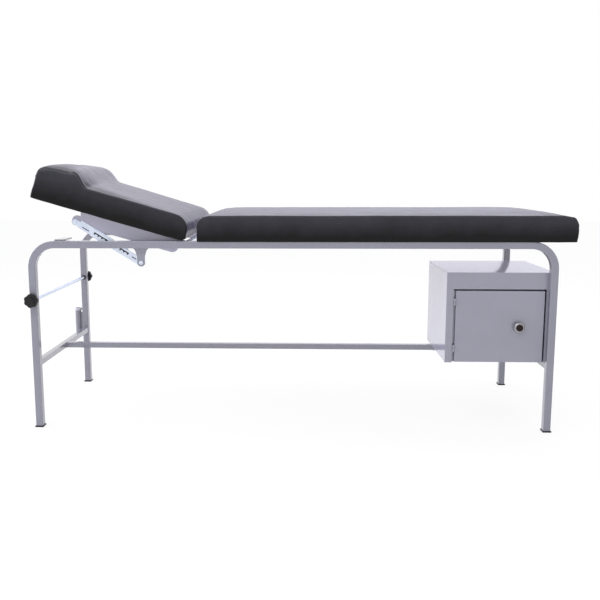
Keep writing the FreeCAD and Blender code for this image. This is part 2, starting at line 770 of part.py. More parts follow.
back_screws = []
for reach in ("back_screw_low", "back_screw_high"):
    for side, sign in SIDES:
        name = f"{reach}_{side}"
        body = new_body(name)
        spot = {"x": f"-{reach}", "y": f"{sign} * {BACK_SCREW_Y}", "out": "back_rise - plate_thick"}
        head = sketch_on(body, "XY", **spot)
        circle(head, "screw_head")
        pad(body, head, "screw_head_thick", backwards=True)
        shank = sketch_on(body, "XY", **spot)
        circle(shank, "screw_radius")
        pad(body, shank, "plate_thick + screw_bite")
        on_backrest(body)
        place(body, "pivot_x", "0", "pivot_z")
        back_screws.append(body)
node(group("back_screws", back_screws), "back_screws")


# Ratchets: on each side a bracket under the rail, a toothed lower bar, an upper bar behind it and two rivets

def ratchet_bracket(side, sign):
    body = new_body(f"ratchet_bracket_{side}")
    outline = sketch_on(body, "XZ")
    half_top = "bracket_top / 2"
    half_neck = "bracket_neck / 2"
    polygon(outline, [
        (f"-{half_top}", "bracket_drop + bracket_weld"), (f"-{half_top}", "bracket_drop"),
        (f"-{half_top} + bracket_shoulder", "bracket_drop - bracket_shoulder"),
        (f"-{half_neck}", "bracket_drop - bracket_flare"), (f"-{half_neck}", "-bracket_tip"),
        ("-bracket_tip", f"-{half_neck}"), ("bracket_tip", f"-{half_neck}"),
        (half_neck, "-bracket_tip"), (half_neck, "bracket_drop - bracket_flare"),
        (f"{half_top} - bracket_shoulder", "bracket_drop - bracket_shoulder"),
        (half_top, "bracket_drop"), (half_top, "bracket_drop + bracket_weld"),
    ])
    pad(body, outline, "bracket_thick", both_ways=True)
    hole = sketch_on(body, "XZ")
    circle(hole, "rivet_radius + rivet_fit")
    pocket(body, hole, both_ways=True)
    place(body, "bracket_x", f"{sign} * (rail_inner - bracket_thick / 2)", "lower_pin_z")
    return node(body, f"ratchet_bracket_{side}")


def ratchet_lower(side, sign):
    """The lower bar runs from the bracket towards the head, with a toothed slot."""
    body = new_body(f"ratchet_lower_{side}")
    strip = sketch_on(body, "XZ", x="-bar_length / 2")
    rectangle(strip, "bar_length", "lower_bar_width")
    pad(body, strip, "ratchet_bar_thick", both_ways=True)
    eye = sketch_on(body, "XZ")
    circle(eye, "lower_bar_width / 2")
    pad(body, eye, "ratchet_bar_thick", both_ways=True)
    tip = sketch_on(body, "XZ", x="-bar_length")
    circle(tip, "lower_bar_width / 2")
    pad(body, tip, "ratchet_bar_thick", both_ways=True)
    hole = sketch_on(body, "XZ")
    circle(hole, "rivet_radius + rivet_fit")
    pocket(body, hole, both_ways=True)
    key = sketch_on(body, "XZ", x="-key_start - key_length / 2")
    rectangle(key, "key_length", "key_width")
    pocket(body, key, both_ways=True)
    slot = sketch_on(body, "XZ", x="-slot_start - slot_length / 2", y="slot_offset")
    rectangle(slot, "slot_length", "slot_width")
    pocket(body, slot, both_ways=True)
    notch = sketch_on(body, "XZ", x="-notch_start", y="slot_offset - notch_depth / 2")
    rectangle(notch, "notch_width", "notch_depth")
    first = pocket(body, notch, both_ways=True)
    row = body.newObject("PartDesign::LinearPattern", f"{body.Name}_notches")
    row.Originals = [first]
    row.Direction = (notch, ["H_Axis"])
    row.Reversed = True
    bind(row, Length="notch_pitch * (notch_count - 1)", Occurrences="notch_count")
    body.Tip = row
    turn(body, Y_AXIS, "ratchet_angle")
    place(body, "bracket_x", f"{sign} * lower_bar_y", "lower_pin_z")
    return node(body, f"ratchet_lower_{side}")


def ratchet_upper(side, sign):
    """The upper bar runs from the backrest down behind the lower one, and is narrower at its eye."""
    body = new_body(f"ratchet_upper_{side}")
    strip = sketch_on(body, "XZ", x="(bar_length + upper_bar_neck) / 2", y="upper_bar_lift / 2")
    rectangle(strip, "bar_length - upper_bar_neck", "upper_bar_width + upper_bar_lift")
    pad(body, strip, "ratchet_bar_thick", both_ways=True)
    eye = sketch_on(body, "XZ")
    circle(eye, "upper_bar_eye")
    pad(body, eye, "ratchet_bar_thick", both_ways=True)
    neck = sketch_on(body, "XZ", x="upper_bar_neck / 2")
    rectangle(neck, "upper_bar_neck", "2 * upper_bar_eye")
    pad(body, neck, "ratchet_bar_thick", both_ways=True)
    tip = sketch_on(body, "XZ", x="bar_length", y="upper_bar_lift / 2")
    circle(tip, "(upper_bar_width + upper_bar_lift) / 2")
    pad(body, tip, "ratchet_bar_thick", both_ways=True)
    hole = sketch_on(body, "XZ")
    circle(hole, "rivet_radius + rivet_fit")
    pocket(body, hole, both_ways=True)
    groove = sketch_on(body, "XZ", x="groove_start + groove_length / 2", y="-groove_offset")
    rectangle(groove, "groove_length", "key_width")
    pocket(body, groove, both_ways=True)
    turn(body, Y_AXIS, "ratchet_angle")
    place(body, "upper_pin_x", f"{sign} * upper_bar_y", "upper_pin_z")
    return node(body, f"ratchet_upper_{side}")


def rivet(name, x, z, outer, inner, sign):
    """A rivet with its head on the outside, between two distances from the middle plane."""
    inwards = "y" if sign < 0 else "-y"
    shank = round_bar(f"{name}_shank", "rivet_radius", f"{outer} - ({inner})",
                      (x, f"{sign} * ({outer})", z), inwards)
    head = round_bar(f"{name}_head", "rivet_head", "rivet_head_thick",
                     (x, f"{sign} * ({outer} + rivet_head_thick)", z), inwards)
    return node(join(name, [shank, head]), name)


for side, sign in SIDES:
    ratchet_bracket(side, sign)
    ratchet_lower(side, sign)
    ratchet_upper(side, sign)
    rivet(f"lower_rivet_{side}", "bracket_x", "lower_pin_z",
          "rail_inner", "lower_bar_y - ratchet_bar_thick / 2", sign)
    rivet(f"upper_rivet_{side}", "upper_pin_x", "upper_pin_z",
          "upper_bar_y + ratchet_bar_thick / 2", "plate_inner", sign)
    outer_edge = "rail_outer - tube / 4"
    tab_y = f"-({outer_edge})" if sign < 0 else f"{outer_edge} - tab_width"
    tab = block(f"stop_tab_{side}", ("tab_length", "tab_width", "tab_thick"), ("tab_x", tab_y, "rail_top"))
    node(tab, f"stop_tab_{side}")


# Paper-roll rod: it turns in a bush in each head leg and carries a lobed knob at each end

KNOB_DEPTH = "knob_hub + knob_thick"
rod_reach = f"(rail_outer + knob_gap + {KNOB_DEPTH} - knob_floor)"
rod = round_bar("paper_rod", "rod_radius", f"2 * {rod_reach}", ("-leg_x", f"-{rod_reach}", "rod_height"), "y")
node(rod, "paper_rod")


def bush(side, sign):
    outwards = "-y" if sign < 0 else "y"
    start = ("-leg_x", f"{sign} * (rail_inner - bush_collar_length)", "rod_height")
    length = "tube + bush_collar_length"
    sleeve = round_bar(f"bush_{side}_sleeve", "rod_radius + bush_wall", length, start, outwards)
    collar = round_bar(f"bush_{side}_collar", "rod_radius + bush_wall + bush_collar", "bush_collar_length",
                       start, outwards)
    bore = round_bar(f"bush_{side}_bore", "rod_radius + rod_fit", length, start, outwards)
    solid = join(f"bush_{side}_solid", [sleeve, collar])
    return node(take_away(f"rod_bush_{side}", solid, [bore]), f"rod_bush_{side}")


def rod_knob(side, sign):
    """A hub, a star of shallow scallops and a low cap, drawn upright and turned to point outwards."""
    body = new_body(f"rod_knob_{side}")
    hub = sketch_on(body, "XY")
    circle(hub, "knob_hub_radius")
    pad(body, hub, "knob_hub")
    star = sketch_on(body, "XY", out="knob_hub")
    circle(star, "knob_radius")
    pad(body, star, "knob_thick")
    scallop = sketch_on(body, "XY", out="knob_hub")
    circle(scallop, "knob_scallop", x="-knob_radius - knob_scallop + knob_dip")
    cut = pocket(body, scallop, "knob_thick", backwards=True)
    ring = body.newObject("PartDesign::PolarPattern", f"{body.Name}_lobes")
    ring.Originals = [cut]
    ring.Axis = (scallop, ["N_Axis"])
    ring.Angle = 360
    bind(ring, Occurrences="knob_lobes")
    body.Tip = ring
    doc.recompute()
    cap = sketch_on(body, "XY", out=KNOB_DEPTH)
    circle(cap, "knob_cap_radius")
    pad(body, cap, "knob_cap")
    bore = sketch_on(body, "XY")
    circle(bore, "rod_radius")
    pocket(body, bore, f"{KNOB_DEPTH} - knob_floor", backwards=True)
    turn(body, Vector(1, 0, 0), "90" if sign < 0 else "-90")
    place(body, "-leg_x", f"{sign} * (rail_outer + knob_gap)", "rod_height")
    return node(body, f"rod_knob_{side}")


for side, sign in SIDES:
    bush(side, sign)
    rod_knob(side, sign)


# Drip-pole socket: a blind tube beside the rear head leg, held by a welded web, with a collar on its mouth

socket_x = "-leg_x - socket_offset"
socket_y = "leg_width / 2"
socket_outside = round_bar("socket_outside", "socket_radius", "socket_length",
                           (socket_x, socket_y, "socket_bottom"))
socket_inside = round_bar("socket_inside", "socket_bore", "socket_length - socket_floor",
                          (socket_x, socket_y, "socket_bottom + socket_floor"))
node(take_away("drip_socket", socket_outside, [socket_inside]), "drip_socket")

web_block = block("web_block", ("socket_offset - tube / 2", "web_thick", "web_height"),
                  (socket_x, f"{socket_y} - web_thick / 2", "socket_bottom + web_base"))
web_clear = round_bar("web_clear", "socket_radius", "socket_length", (socket_x, socket_y, "socket_bottom"))
node(take_away("drip_socket_web", web_block, [web_clear]), "drip_socket_web")

collar_seat = (socket_x, socket_y, "socket_bottom + socket_length")
collar_outside = round_bar("collar_outside", "collar_radius", "collar_height", collar_seat)
collar_inside = round_bar("collar_inside", "socket_bore + collar_fit", "collar_height", collar_seat)
node(take_away("drip_socket_collar", collar_outside, [collar_inside]), "drip_socket_collar")


# Cabinet: a folded body, a folded top with the front rail, and a back, all of thin sheet

inner_height = "cab_height - sheet"
stile_height = "cab_height - front_rail"
panel_y = "cab_front + sheet"
body_panels = [
    block("cabinet_left", ("sheet", "cab_depth - sheet", inner_height), ("cab_left", panel_y, "cab_bottom")),
    block("cabinet_right", ("sheet", "cab_depth - sheet", inner_height),
          ("cab_right - sheet", panel_y, "cab_bottom")),
    block("cabinet_floor", ("cab_width", "cab_depth - floor_recess", "sheet"),
          ("cab_left", "cab_front + floor_recess", "cab_bottom")),
    block("stile_left_face", ("stile_left", "sheet", stile_height), ("cab_left", "cab_front", "cab_bottom")),
    block("stile_left_lip", ("sheet", "lip_depth", stile_height),
          ("cab_left + stile_left - sheet", "cab_front", "cab_bottom")),
    block("stile_right_face", ("stile_right", "sheet", stile_height),
          ("cab_right - stile_right", "cab_front", "cab_bottom")),
    block("stile_right_lip", ("sheet", "lip_depth", stile_height),
          ("cab_right - stile_right", "cab_front", "cab_bottom")),
]
floor_bolt_spots = ("cab_left + floor_bolt_left", "cab_right - floor_bolt_right")
leg_bolt_heights = ("leg_bolt_low_z", "leg_bolt_high_z")
body_holes = []
for number, x in enumerate(floor_bolt_spots):
    body_holes.append(round_bar(f"floor_bolt_hole_{number}", "bolt_radius + bolt_fit", "3 * sheet",
                                (x, "0", "cab_bottom - sheet")))
for number, z in enumerate(leg_bolt_heights):
    body_holes.append(round_bar(f"leg_bolt_hole_{number}", "bolt_radius + bolt_fit", "3 * sheet",
                                ("leg_x", "cab_front - sheet", z), "y"))
node(take_away("cabinet_body", join("cabinet_panels", body_panels), body_holes), "cabinet_body")

opening_width = "cab_width - stile_left - stile_right"
node(join("cabinet_top", [
    block("top_sheet", ("cab_width", "cab_depth", "sheet"), ("cab_left", "cab_front", "cab_top - sheet")),
    block("top_rail", ("cab_width", "sheet", "front_rail"),
          ("cab_left", "cab_front", "cab_top - front_rail")),
    block("top_lip", (opening_width, "lip_depth", "sheet"),
          ("cab_left + stile_left", "cab_front", "cab_top - front_rail")),
]), "cabinet_top")

node(block("cabinet_back", ("cab_width - 2 * sheet", "sheet", "cab_height - 2 * sheet"),
           ("cab_left + sheet", "cab_front + cab_depth - sheet", "cab_bottom + sheet")), "cabinet_back")

leg_bolts = []
for number, z in enumerate(leg_bolt_heights):
    seat = "cab_front + sheet"
    head = round_bar(f"leg_bolt_head_{number}", "bolt_head", "bolt_head_thick", ("leg_x", seat, z), "y")
    shank = round_bar(f"leg_bolt_shank_{number}", "bolt_radius", "sheet + tube_wall + bolt_length",
                      ("leg_x", seat, z), "-y")
    leg_bolts.append(join(f"leg_bolt_{number}", [head, shank]))
node(group("cabinet_leg_bolts", leg_bolts), "cabinet_leg_bolts")

floor_bolts = []
for number, x in enumerate(floor_bolt_spots):
    head = round_bar(f"floor_bolt_head_{number}", "bolt_head", "bolt_head_thick",
                     (x, "0", "brace_bottom"), "-z")
    shank = round_bar(f"floor_bolt_shank_{number}", "bolt_radius", "brace + sheet + bolt_length",
                      (x, "0", "brace_bottom"))
    floor_bolts.append(join(f"floor_bolt_{number}", [head, shank]))
node(group("cabinet_floor_bolts", floor_bolts), "cabinet_floor_bolts")


# Door: a shallow pan with turned-in edges, two hinges, a round handle with an inlay, and a magnetic catch

door_width = "(door_right - door_left)"
door_block = block("door_block", (door_width, "door_depth", "door_height"),
                   ("door_left", "cab_front", "door_bottom"))
door_hollow = block("door_hollow", (f"{door_width} - 2 * sheet", "door_depth", "door_height - 2 * sheet"),
                    ("door_left + sheet", "cab_front + sheet", "door_bottom + sheet"))
door_pan = take_away("door_pan", door_block, [door_hollow])
node(round_front("cabinet_door", door_pan, "min(door_bend; 1.5 * sheet)"), "cabinet_door")


def hinge_part(name, leaf_x, neck_x, base, knuckles):
    """A hinge leaf in the gap beside the door, with the necks and knuckles that belong to it."""
    third = "hinge_length / 3"
    pieces = [block(f"{name}_leaf", ("leaf_thick", "leaf_width", "hinge_length"), (leaf_x, "cab_front", base))]
    for knuckle in knuckles:
        start = f"{base} + {knuckle} * {third} + {knuckle} * hinge_fit"
        length = f"{third} - 2 * hinge_fit"
        pieces.append(block(f"{name}_neck_{knuckle}", ("hinge_gap / 2", "knuckle_forward", length),
                            (neck_x, "hinge_y", start)))
        pieces.append(round_bar(f"{name}_knuckle_{knuckle}", "knuckle_radius", length,
                                ("hinge_x", "hinge_y", start)))
    bore = round_bar(f"{name}_bore", "hinge_pin + hinge_fit", "hinge_length", ("hinge_x", "hinge_y", base))
    return take_away(name, join(f"{name}_solid", pieces), [bore])


frame_leaves, door_leaves, hinge_pins = [], [], []
hinge_bases = (("low", "door_bottom + hinge_low"),
               ("high", "door_bottom + door_height - hinge_top - hinge_length"))
for spot, base in hinge_bases:
    stile_edge = "cab_left + stile_left"
    frame_leaves.append(hinge_part(f"hinge_{spot}_frame_leaf", stile_edge, stile_edge, base, (0, 2)))
    door_leaves.append(hinge_part(f"hinge_{spot}_door_leaf", "door_left - leaf_thick", "hinge_x", base, (1,)))
    hinge_pins.append(round_bar(f"hinge_{spot}_pin", "hinge_pin", "hinge_length",
                                ("hinge_x", "hinge_y", base)))
node(group("hinge_frame_leaves", frame_leaves), "hinge_frame_leaves")
node(group("hinge_door_leaves", door_leaves), "hinge_door_leaves")
node(group("hinge_pins", hinge_pins), "hinge_pins")

handle = new_body("door_handle")
handle_profile = sketch_on(handle, "XZ")
handle_top = "handle_neck + handle_flare + handle_thick"
polygon(handle_profile, [
    ("0", "0"), ("handle_neck_radius", "0"), ("handle_neck_radius", "handle_neck"),
    ("handle_radius", "handle_neck + handle_flare"), ("handle_radius", f"{handle_top} - handle_edge"),
    ("handle_radius - handle_edge", handle_top), ("inlay_radius", handle_top),
    ("inlay_radius", f"{handle_top} - inlay_recess"), ("0", f"{handle_top} - inlay_recess"),
])
handle_turned = handle.newObject("PartDesign::Revolution", "door_handle_turned")
handle_turned.Profile = handle_profile
handle_turned.ReferenceAxis = (handle_profile, ["V_Axis"])
handle_turned.Angle = 360
turn(handle, Vector(1, 0, 0), "90")
place(handle, "handle_x", "cab_front", "handle_z")
node(handle, "door_handle")

inlay = round_bar("door_handle_inlay", "inlay_radius", "inlay_recess + inlay_proud",
                  ("handle_x", f"cab_front - ({handle_top}) + inlay_recess", "handle_z"), "-y")
node(inlay, "door_handle_inlay")

catch_low = "door_bottom + door_height / 2 - catch_height / 2"
catch = block("door_catch", ("catch_width", "catch_depth", "catch_height"),
              ("cab_right - sheet - catch_width", "cab_front + door_depth + catch_gap", catch_low))
node(catch, "door_catch")
strike = block("door_strike", ("strike_width", "sheet", "catch_height"),
               ("door_right - sheet - strike_width", "cab_front + door_depth - sheet", catch_low))
node(strike, "door_strike")


# Nothing is written unless every piece is sound
doc.recompute()
for thing in doc.Objects:
    if "Invalid" in thing.State or "Error" in thing.State:
        raise RuntimeError(f"{thing.Name} failed: {thing.State}")
for thing in nodes:
    if thing.Shape.isNull() or not thing.Shape.isValid() or not thing.Shape.Solids:
        raise RuntimeError(f"{thing.Label} has no sound solid")

os.makedirs("parts", exist_ok=True)
for thing in nodes:
    thing.Shape.exportStep(f"parts/{thing.Label}.step")
print(f"{len(nodes)} pieces written")
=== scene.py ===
import json
import math

import bpy
import numpy as np
from mathutils import Matrix, Vector, noise


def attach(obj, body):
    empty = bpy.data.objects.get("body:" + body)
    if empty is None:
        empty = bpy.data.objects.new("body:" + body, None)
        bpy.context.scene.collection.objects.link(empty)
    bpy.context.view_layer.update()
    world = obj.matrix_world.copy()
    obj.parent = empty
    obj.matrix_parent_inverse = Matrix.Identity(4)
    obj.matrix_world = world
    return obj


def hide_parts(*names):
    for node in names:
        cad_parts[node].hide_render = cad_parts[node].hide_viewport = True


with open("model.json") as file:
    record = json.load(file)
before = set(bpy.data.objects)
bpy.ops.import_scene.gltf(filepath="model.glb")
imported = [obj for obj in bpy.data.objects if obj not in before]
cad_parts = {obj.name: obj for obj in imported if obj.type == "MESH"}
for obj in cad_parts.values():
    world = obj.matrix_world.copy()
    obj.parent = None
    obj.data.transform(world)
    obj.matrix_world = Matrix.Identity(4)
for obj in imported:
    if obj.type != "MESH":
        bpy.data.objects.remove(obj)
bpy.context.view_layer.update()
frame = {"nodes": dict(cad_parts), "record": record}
nodes = frame["nodes"]
scene = bpy.context.scene

MM = 0.001

# Places that the looks share with the solids, in millimetres
RAIL_TOP = 659
RAIL_BOTTOM = 634
RAIL_INNER = 270
LEG_X = 885
LEG_Y = 282.5
TUBE = 25
BRACE = 20
BRACE_MIDDLE = 229
SEAT_BAR = 20
SEAT_BARS = (-280, 300, 770)
BRACKET_ENDS = (-540, -484)
TAB_ENDS = (-803, -772)
TAB_SIDES = (272, 288)
WEB_SIDES = (-3, 3)
WEB_HEIGHTS = (232, 301)
PIVOT = Vector((-366, 0, 646.5))
TILT = math.radians(16)
BACK_NORMAL = Vector((math.sin(TILT), 0, math.cos(TILT)))
BACK_BASE = 13.0
LOWER_PIN = Vector((-512, 0, 583))
UPPER_PIN = Vector((-737.63, 0, 721.85))


# Material helpers

def set_inputs(node, numbers):
    """Set unlinked inputs of a node, given by name or by place."""
    for name, number in numbers.items():
        node.inputs[name].default_value = number


def shader(name):
    """A new material with its node tree and its main shader."""
    material = bpy.data.materials.new(name)
    material.use_nodes = True
    tree = material.node_tree
    main = next(n for n in tree.nodes if n.type == "BSDF_PRINCIPLED")
    return material, tree, main


def add(tree, kind, inputs=None, **settings):
    """A new node with its settings and its unlinked inputs."""
    made = tree.nodes.new(kind)
    for name, setting in settings.items():
        setattr(made, name, setting)
    set_inputs(made, inputs or {})
    return made


def place_vector(tree, stretch=(1, 1, 1)):
    """Object coordinates in metres, stretched for a texture."""
    where = add(tree, "ShaderNodeTexCoord")
    mapping = add(tree, "ShaderNodeMapping", {"Scale": stretch})
    tree.links.new(where.outputs["Object"], mapping.inputs["Vector"])
    return mapping.outputs["Vector"]


def noise_texture(tree, scale, detail=4, rough=0.5, stretch=(1, 1, 1), distortion=0.0):
    """A noise texture fixed to the object, as a value."""
    texture = add(tree, "ShaderNodeTexNoise",
                  {"Scale": scale, "Detail": detail, "Roughness": rough, "Distortion": distortion})
    tree.links.new(place_vector(tree, stretch), texture.inputs["Vector"])
    return texture.outputs["Fac"]


def spread(tree, source, low, high, start=0.0, end=1.0):
    """A value that runs from low to high as a texture goes from start to end."""
    ranged = add(tree, "ShaderNodeMapRange",
                 {"From Min": start, "From Max": end, "To Min": low, "To Max": high})
    tree.links.new(source, ranged.inputs["Value"])
    return ranged.outputs["Result"]


def colour_by(tree, main, source, colours, start=0.3, end=0.7):
    """Let the surface run from one colour to another as a texture goes from start to end."""
    ramp = add(tree, "ShaderNodeValToRGB")
    for element, position, colour in zip(ramp.color_ramp.elements, (start, end), colours):
        element.position = position
        element.color = (*colour, 1)
    tree.links.new(source, ramp.inputs["Fac"])
    tree.links.new(ramp.outputs["Color"], main.inputs["Base Color"])


def roughen_by(tree, main, source, low, high, start=0.0, end=1.0):
    """Let the roughness run from low to high as a texture goes from start to end."""
    tree.links.new(spread(tree, source, low, high, start, end), main.inputs["Roughness"])


def bumps(tree, main, layers):
    """Stack height textures, each with a depth in metres and a strength, into one normal."""
    last = None
    for source, depth, strength in layers:
        bump = add(tree, "ShaderNodeBump", {"Strength": strength, "Distance": depth})
        tree.links.new(source, bump.inputs["Height"])
        if last is not None:
            tree.links.new(last, bump.inputs["Normal"])
        last = bump.outputs["Normal"]
    tree.links.new(last, main.inputs["Normal"])


# Materials, each between a darker and a lighter colour

SHEET_GREYS = ((0.268, 0.269, 0.318), (0.292, 0.293, 0.345))
# A darker copy of the grey paint, as painted shade on the frame's tubes
TUBE_PAINTED_SHADE_GREYS = ((0.225, 0.226, 0.270), (0.247, 0.248, 0.295))
# A lighter copy of the grey paint, as painted light on the backrest's side plates
PLATE_PAINTED_LIGHT_GREYS = ((0.42, 0.42, 0.52), (0.45, 0.45, 0.56))
# The vinyl's lighter colour is painted light on the upper sides; its darker colour is the vinyl's own
VINYL_BLACKS = ((0.0012, 0.0012, 0.0016), (0.044, 0.043, 0.053))
ZINC_GREYS = ((0.64, 0.70, 0.83), (0.72, 0.78, 0.90))
PLASTIC_BLACKS = ((0.004, 0.004, 0.005), (0.009, 0.009, 0.010))
PLASTIC_GREYS = ((0.55, 0.55, 0.60), (0.62, 0.62, 0.66))
NICKEL_GREYS = ((0.34, 0.33, 0.34), (0.41, 0.40, 0.41))
INLAY_BROWNS = ((0.008, 0.004, 0.003), (0.018, 0.008, 0.006))
WOOD_BROWNS = ((0.25, 0.145, 0.070), (0.50, 0.345, 0.195))
# Heights over which the vinyl's sides are painted lighter towards the top, as painted light
SEAT_FADE = 0.085
BACK_FADE = 0.100


def grey_paint(name, greys, painted_sheen=0.0):
    """Glossy light grey enamel with a faint lavender cast and orange peel, and with a painted lavender sheen
    where asked for.
    """
    material, tree, main = shader(name)
    colour_by(tree, main, noise_texture(tree, 4, 5, 0.6), greys)
    roughen_by(tree, main, noise_texture(tree, 18, 6, 0.6), 0.18, 0.28)
    # The lavender sheen tint is a painted sheen, standing in for bright grazing reflections; it shows only
    # where a weight is given
    set_inputs(main, {"Coat Weight": 1.0, "Coat Roughness": 0.05, "Coat IOR": 1.5,
                      "Sheen Weight": painted_sheen, "Sheen Roughness": 0.3, "Sheen Tint": (0.70, 0.70, 1.0, 1)})
    peel = noise_texture(tree, 420, 2, 0.5)
    waves = noise_texture(tree, 9, 2, 0.5)
    bumps(tree, main, [(waves, 0.0010, 0.05), (peel, 0.0001, 0.05)])
    return material


def black_vinyl(name, upwards, base, height):
    """Smooth upholstery vinyl with a fine grain and streaks of gloss, its sides painted greyer towards the
    top as painted light.
    """
    material, tree, main = shader(name)
    where = add(tree, "ShaderNodeTexCoord")
    rise = add(tree, "ShaderNodeVectorMath", {1: upwards}, operation="DOT_PRODUCT")
    facing = add(tree, "ShaderNodeVectorMath", {1: upwards}, operation="DOT_PRODUCT")
    tree.links.new(where.outputs["Object"], rise.inputs[0])
    tree.links.new(where.outputs["Normal"], facing.inputs[0])
    # Painted light: the sides lighter with height, less so on faces that look up, plus a faint random tone
    painted_light_by_height = spread(tree, rise.outputs["Value"], 0.0, 0.8, base, base + height)
    on_side = spread(tree, facing.outputs["Value"], 1.0, 0.25, 0.5, 0.95)
    cloudy = spread(tree, noise_texture(tree, 9, 6, 0.65), 0.0, 0.2, 0.3, 0.7)
    painted_light_and_tone = add(tree, "ShaderNodeMath", operation="MULTIPLY_ADD")
    for place, source in enumerate((painted_light_by_height, on_side, cloudy)):
        tree.links.new(source, painted_light_and_tone.inputs[place])
    colour_by(tree, main, painted_light_and_tone.outputs[0], VINYL_BLACKS, 0.25, 1.0)
    streaks = noise_texture(tree, 5, 5, 0.6, stretch=(1, 7, 4), distortion=0.5)
    roughen_by(tree, main, streaks, 0.26, 0.35, 0.3, 0.7)
    # The lavender sheen tint is a painted sheen, standing in for bright grazing reflections on the tops
    set_inputs(main, {"Specular IOR Level": 0.22, "Sheen Weight": 0.2, "Sheen Roughness": 0.35,
                      "Sheen Tint": (0.72, 0.68, 1.0, 1)})
    grain = add(tree, "ShaderNodeTexVoronoi", {"Scale": 950}, feature="SMOOTH_F1")
    tree.links.new(place_vector(tree), grain.inputs["Vector"])
    lines = noise_texture(tree, 5, 3, 0.5, stretch=(1, 7, 4), distortion=0.4)
    bumps(tree, main, [(lines, 0.002, 0.025), (grain.outputs["Distance"], 0.0001, 0.03)])
    return material


def bright_zinc():
    """Bright zinc plate with a cool cast and faint rolling marks."""
    material, tree, main = shader("bright_zinc")
    colour_by(tree, main, noise_texture(tree, 30, 4, 0.5), ZINC_GREYS)
    set_inputs(main, {"Metallic": 1})
    roughen_by(tree, main, noise_texture(tree, 60, 5), 0.26, 0.36)
    bumps(tree, main, [(noise_texture(tree, 300, 3, stretch=(0.1, 1, 1)), 0.0001, 0.05)])
    return material


def black_plastic():
    """Moulded black plastic with a fine grain and a few scuffs."""
    material, tree, main = shader("black_plastic")
    colour_by(tree, main, noise_texture(tree, 60, 6, 0.7), PLASTIC_BLACKS, 0.35, 0.7)
    roughen_by(tree, main, noise_texture(tree, 90, 4), 0.22, 0.36)
    set_inputs(main, {"Specular IOR Level": 0.35})
    bumps(tree, main, [(noise_texture(tree, 1600, 2), 0.0001, 0.08)])
    return material


def pale_plastic():
    """Light grey moulded plastic, a little cloudy."""
    material, tree, main = shader("pale_plastic")
    colour_by(tree, main, noise_texture(tree, 50, 5, 0.6), PLASTIC_GREYS)
    roughen_by(tree, main, noise_texture(tree, 80, 4), 0.35, 0.5)
    return material


def satin_metal():
    """Satin nickel with a fine uneven gloss."""
    material, tree, main = shader("satin_metal")
    colour_by(tree, main, noise_texture(tree, 120, 5, 0.6), NICKEL_GREYS)
    set_inputs(main, {"Metallic": 1})
    roughen_by(tree, main, noise_texture(tree, 150, 5), 0.26, 0.40)
    return material


def brown_inlay():
    """Glossy brown plastic with a slight swirl."""
    material, tree, main = shader("brown_inlay")
    colour_by(tree, main, noise_texture(tree, 90, 4, 0.6, distortion=1.5), INLAY_BROWNS)
    set_inputs(main, {"Roughness": 0.22, "Specular IOR Level": 0.2})
    return material


def plywood():
    """Bare plywood: long wavering grain on the faces."""
    material, tree, main = shader("plywood")
    grain = noise_texture(tree, 5, 8, 0.62, stretch=(0.6, 9, 9), distortion=0.6)
    colour_by(tree, main, grain, WOOD_BROWNS, 0.32, 0.68)
    roughen_by(tree, main, grain, 0.5, 0.75)
    bumps(tree, main, [(grain, 0.0006, 0.25)])
    return material


BACK_LEVEL = (PIVOT.dot(BACK_NORMAL) + BACK_BASE) * MM

# The record's slots, then the mixes that some pieces wear in place of their slot's own: painted light on the
# plates, painted shade on the tubes and a painted sheen on the cabinet's sheet metal
MATERIALS = {
    "grey_paint": grey_paint("grey_paint", SHEET_GREYS),
    "vinyl": black_vinyl("seat_vinyl", (0, 0, 1), RAIL_TOP * MM, SEAT_FADE),
    "zinc": bright_zinc(),
    "black_plastic": black_plastic(),
    "pale_plastic": pale_plastic(),
    "chrome": satin_metal(),
    "brown_inlay": brown_inlay(),
    "board": plywood(),
    "back_vinyl": black_vinyl("back_vinyl", BACK_NORMAL, BACK_LEVEL, BACK_FADE),
    # Painted light: the plates wear a lighter copy of the grey paint
    "plate_paint_painted_light": grey_paint("plate_grey_paint_painted_light", PLATE_PAINTED_LIGHT_GREYS),
    # Painted shade: the tubes wear a darker copy of the grey paint
    "tube_paint_painted_shade": grey_paint("tube_grey_paint_painted_shade", TUBE_PAINTED_SHADE_GREYS),
    # The cabinet's sheet metal gets a painted lavender sheen for the grazing light on its top and left side
    "sheet_paint_painted_sheen": grey_paint("sheet_grey_paint_painted_sheen", SHEET_GREYS, painted_sheen=0.5),
}


# What the solids wear, and how sharp their edges are

def pairs(*stems):
    """The names of the front and the rear node of each pair."""
    return tuple(f"{stem}_{side}" for stem in stems for side in ("front", "rear"))


PLATE_NODES = pairs("back_plate")
TUBE_NODES = pairs("side_frame", "stop_tab") + (
    "crossbar_head", "crossbar_foot", "stretcher", "drip_socket", "drip_socket_web",
    "seat_crossbar_head", "seat_crossbar_middle", "seat_crossbar_foot")
SHEET_NODES = ("cabinet_body", "cabinet_top", "cabinet_back", "cabinet_door")
CUT_NODES = pairs("ratchet_bracket", "stop_tab", "back_plate", "ratchet_lower", "ratchet_upper") + (
    "door_catch", "drip_socket_web")
ROUND_NODES = pairs("lower_rivet", "upper_rivet", "rod_knob") + (
    "door_handle", "door_handle_inlay", "cabinet_leg_bolts", "cabinet_floor_bolts",
    "seat_screws", "back_screws")


def wear(thing, material):
    """Give an object one material in place of any other."""
    thing.data.materials.clear()
    thing.data.materials.append(material)


def soften_edges(thing, width):
    """Break the sharp edges of a solid so that they catch light."""
    weld = thing.modifiers.new("weld", "WELD")
    weld.merge_threshold = 0.00002
    bevel = thing.modifiers.new("bevel", "BEVEL")
    bevel.width = width
    bevel.segments = 2
    bevel.limit_method = "ANGLE"
    bevel.angle_limit = math.radians(50)
    bevel.harden_normals = True


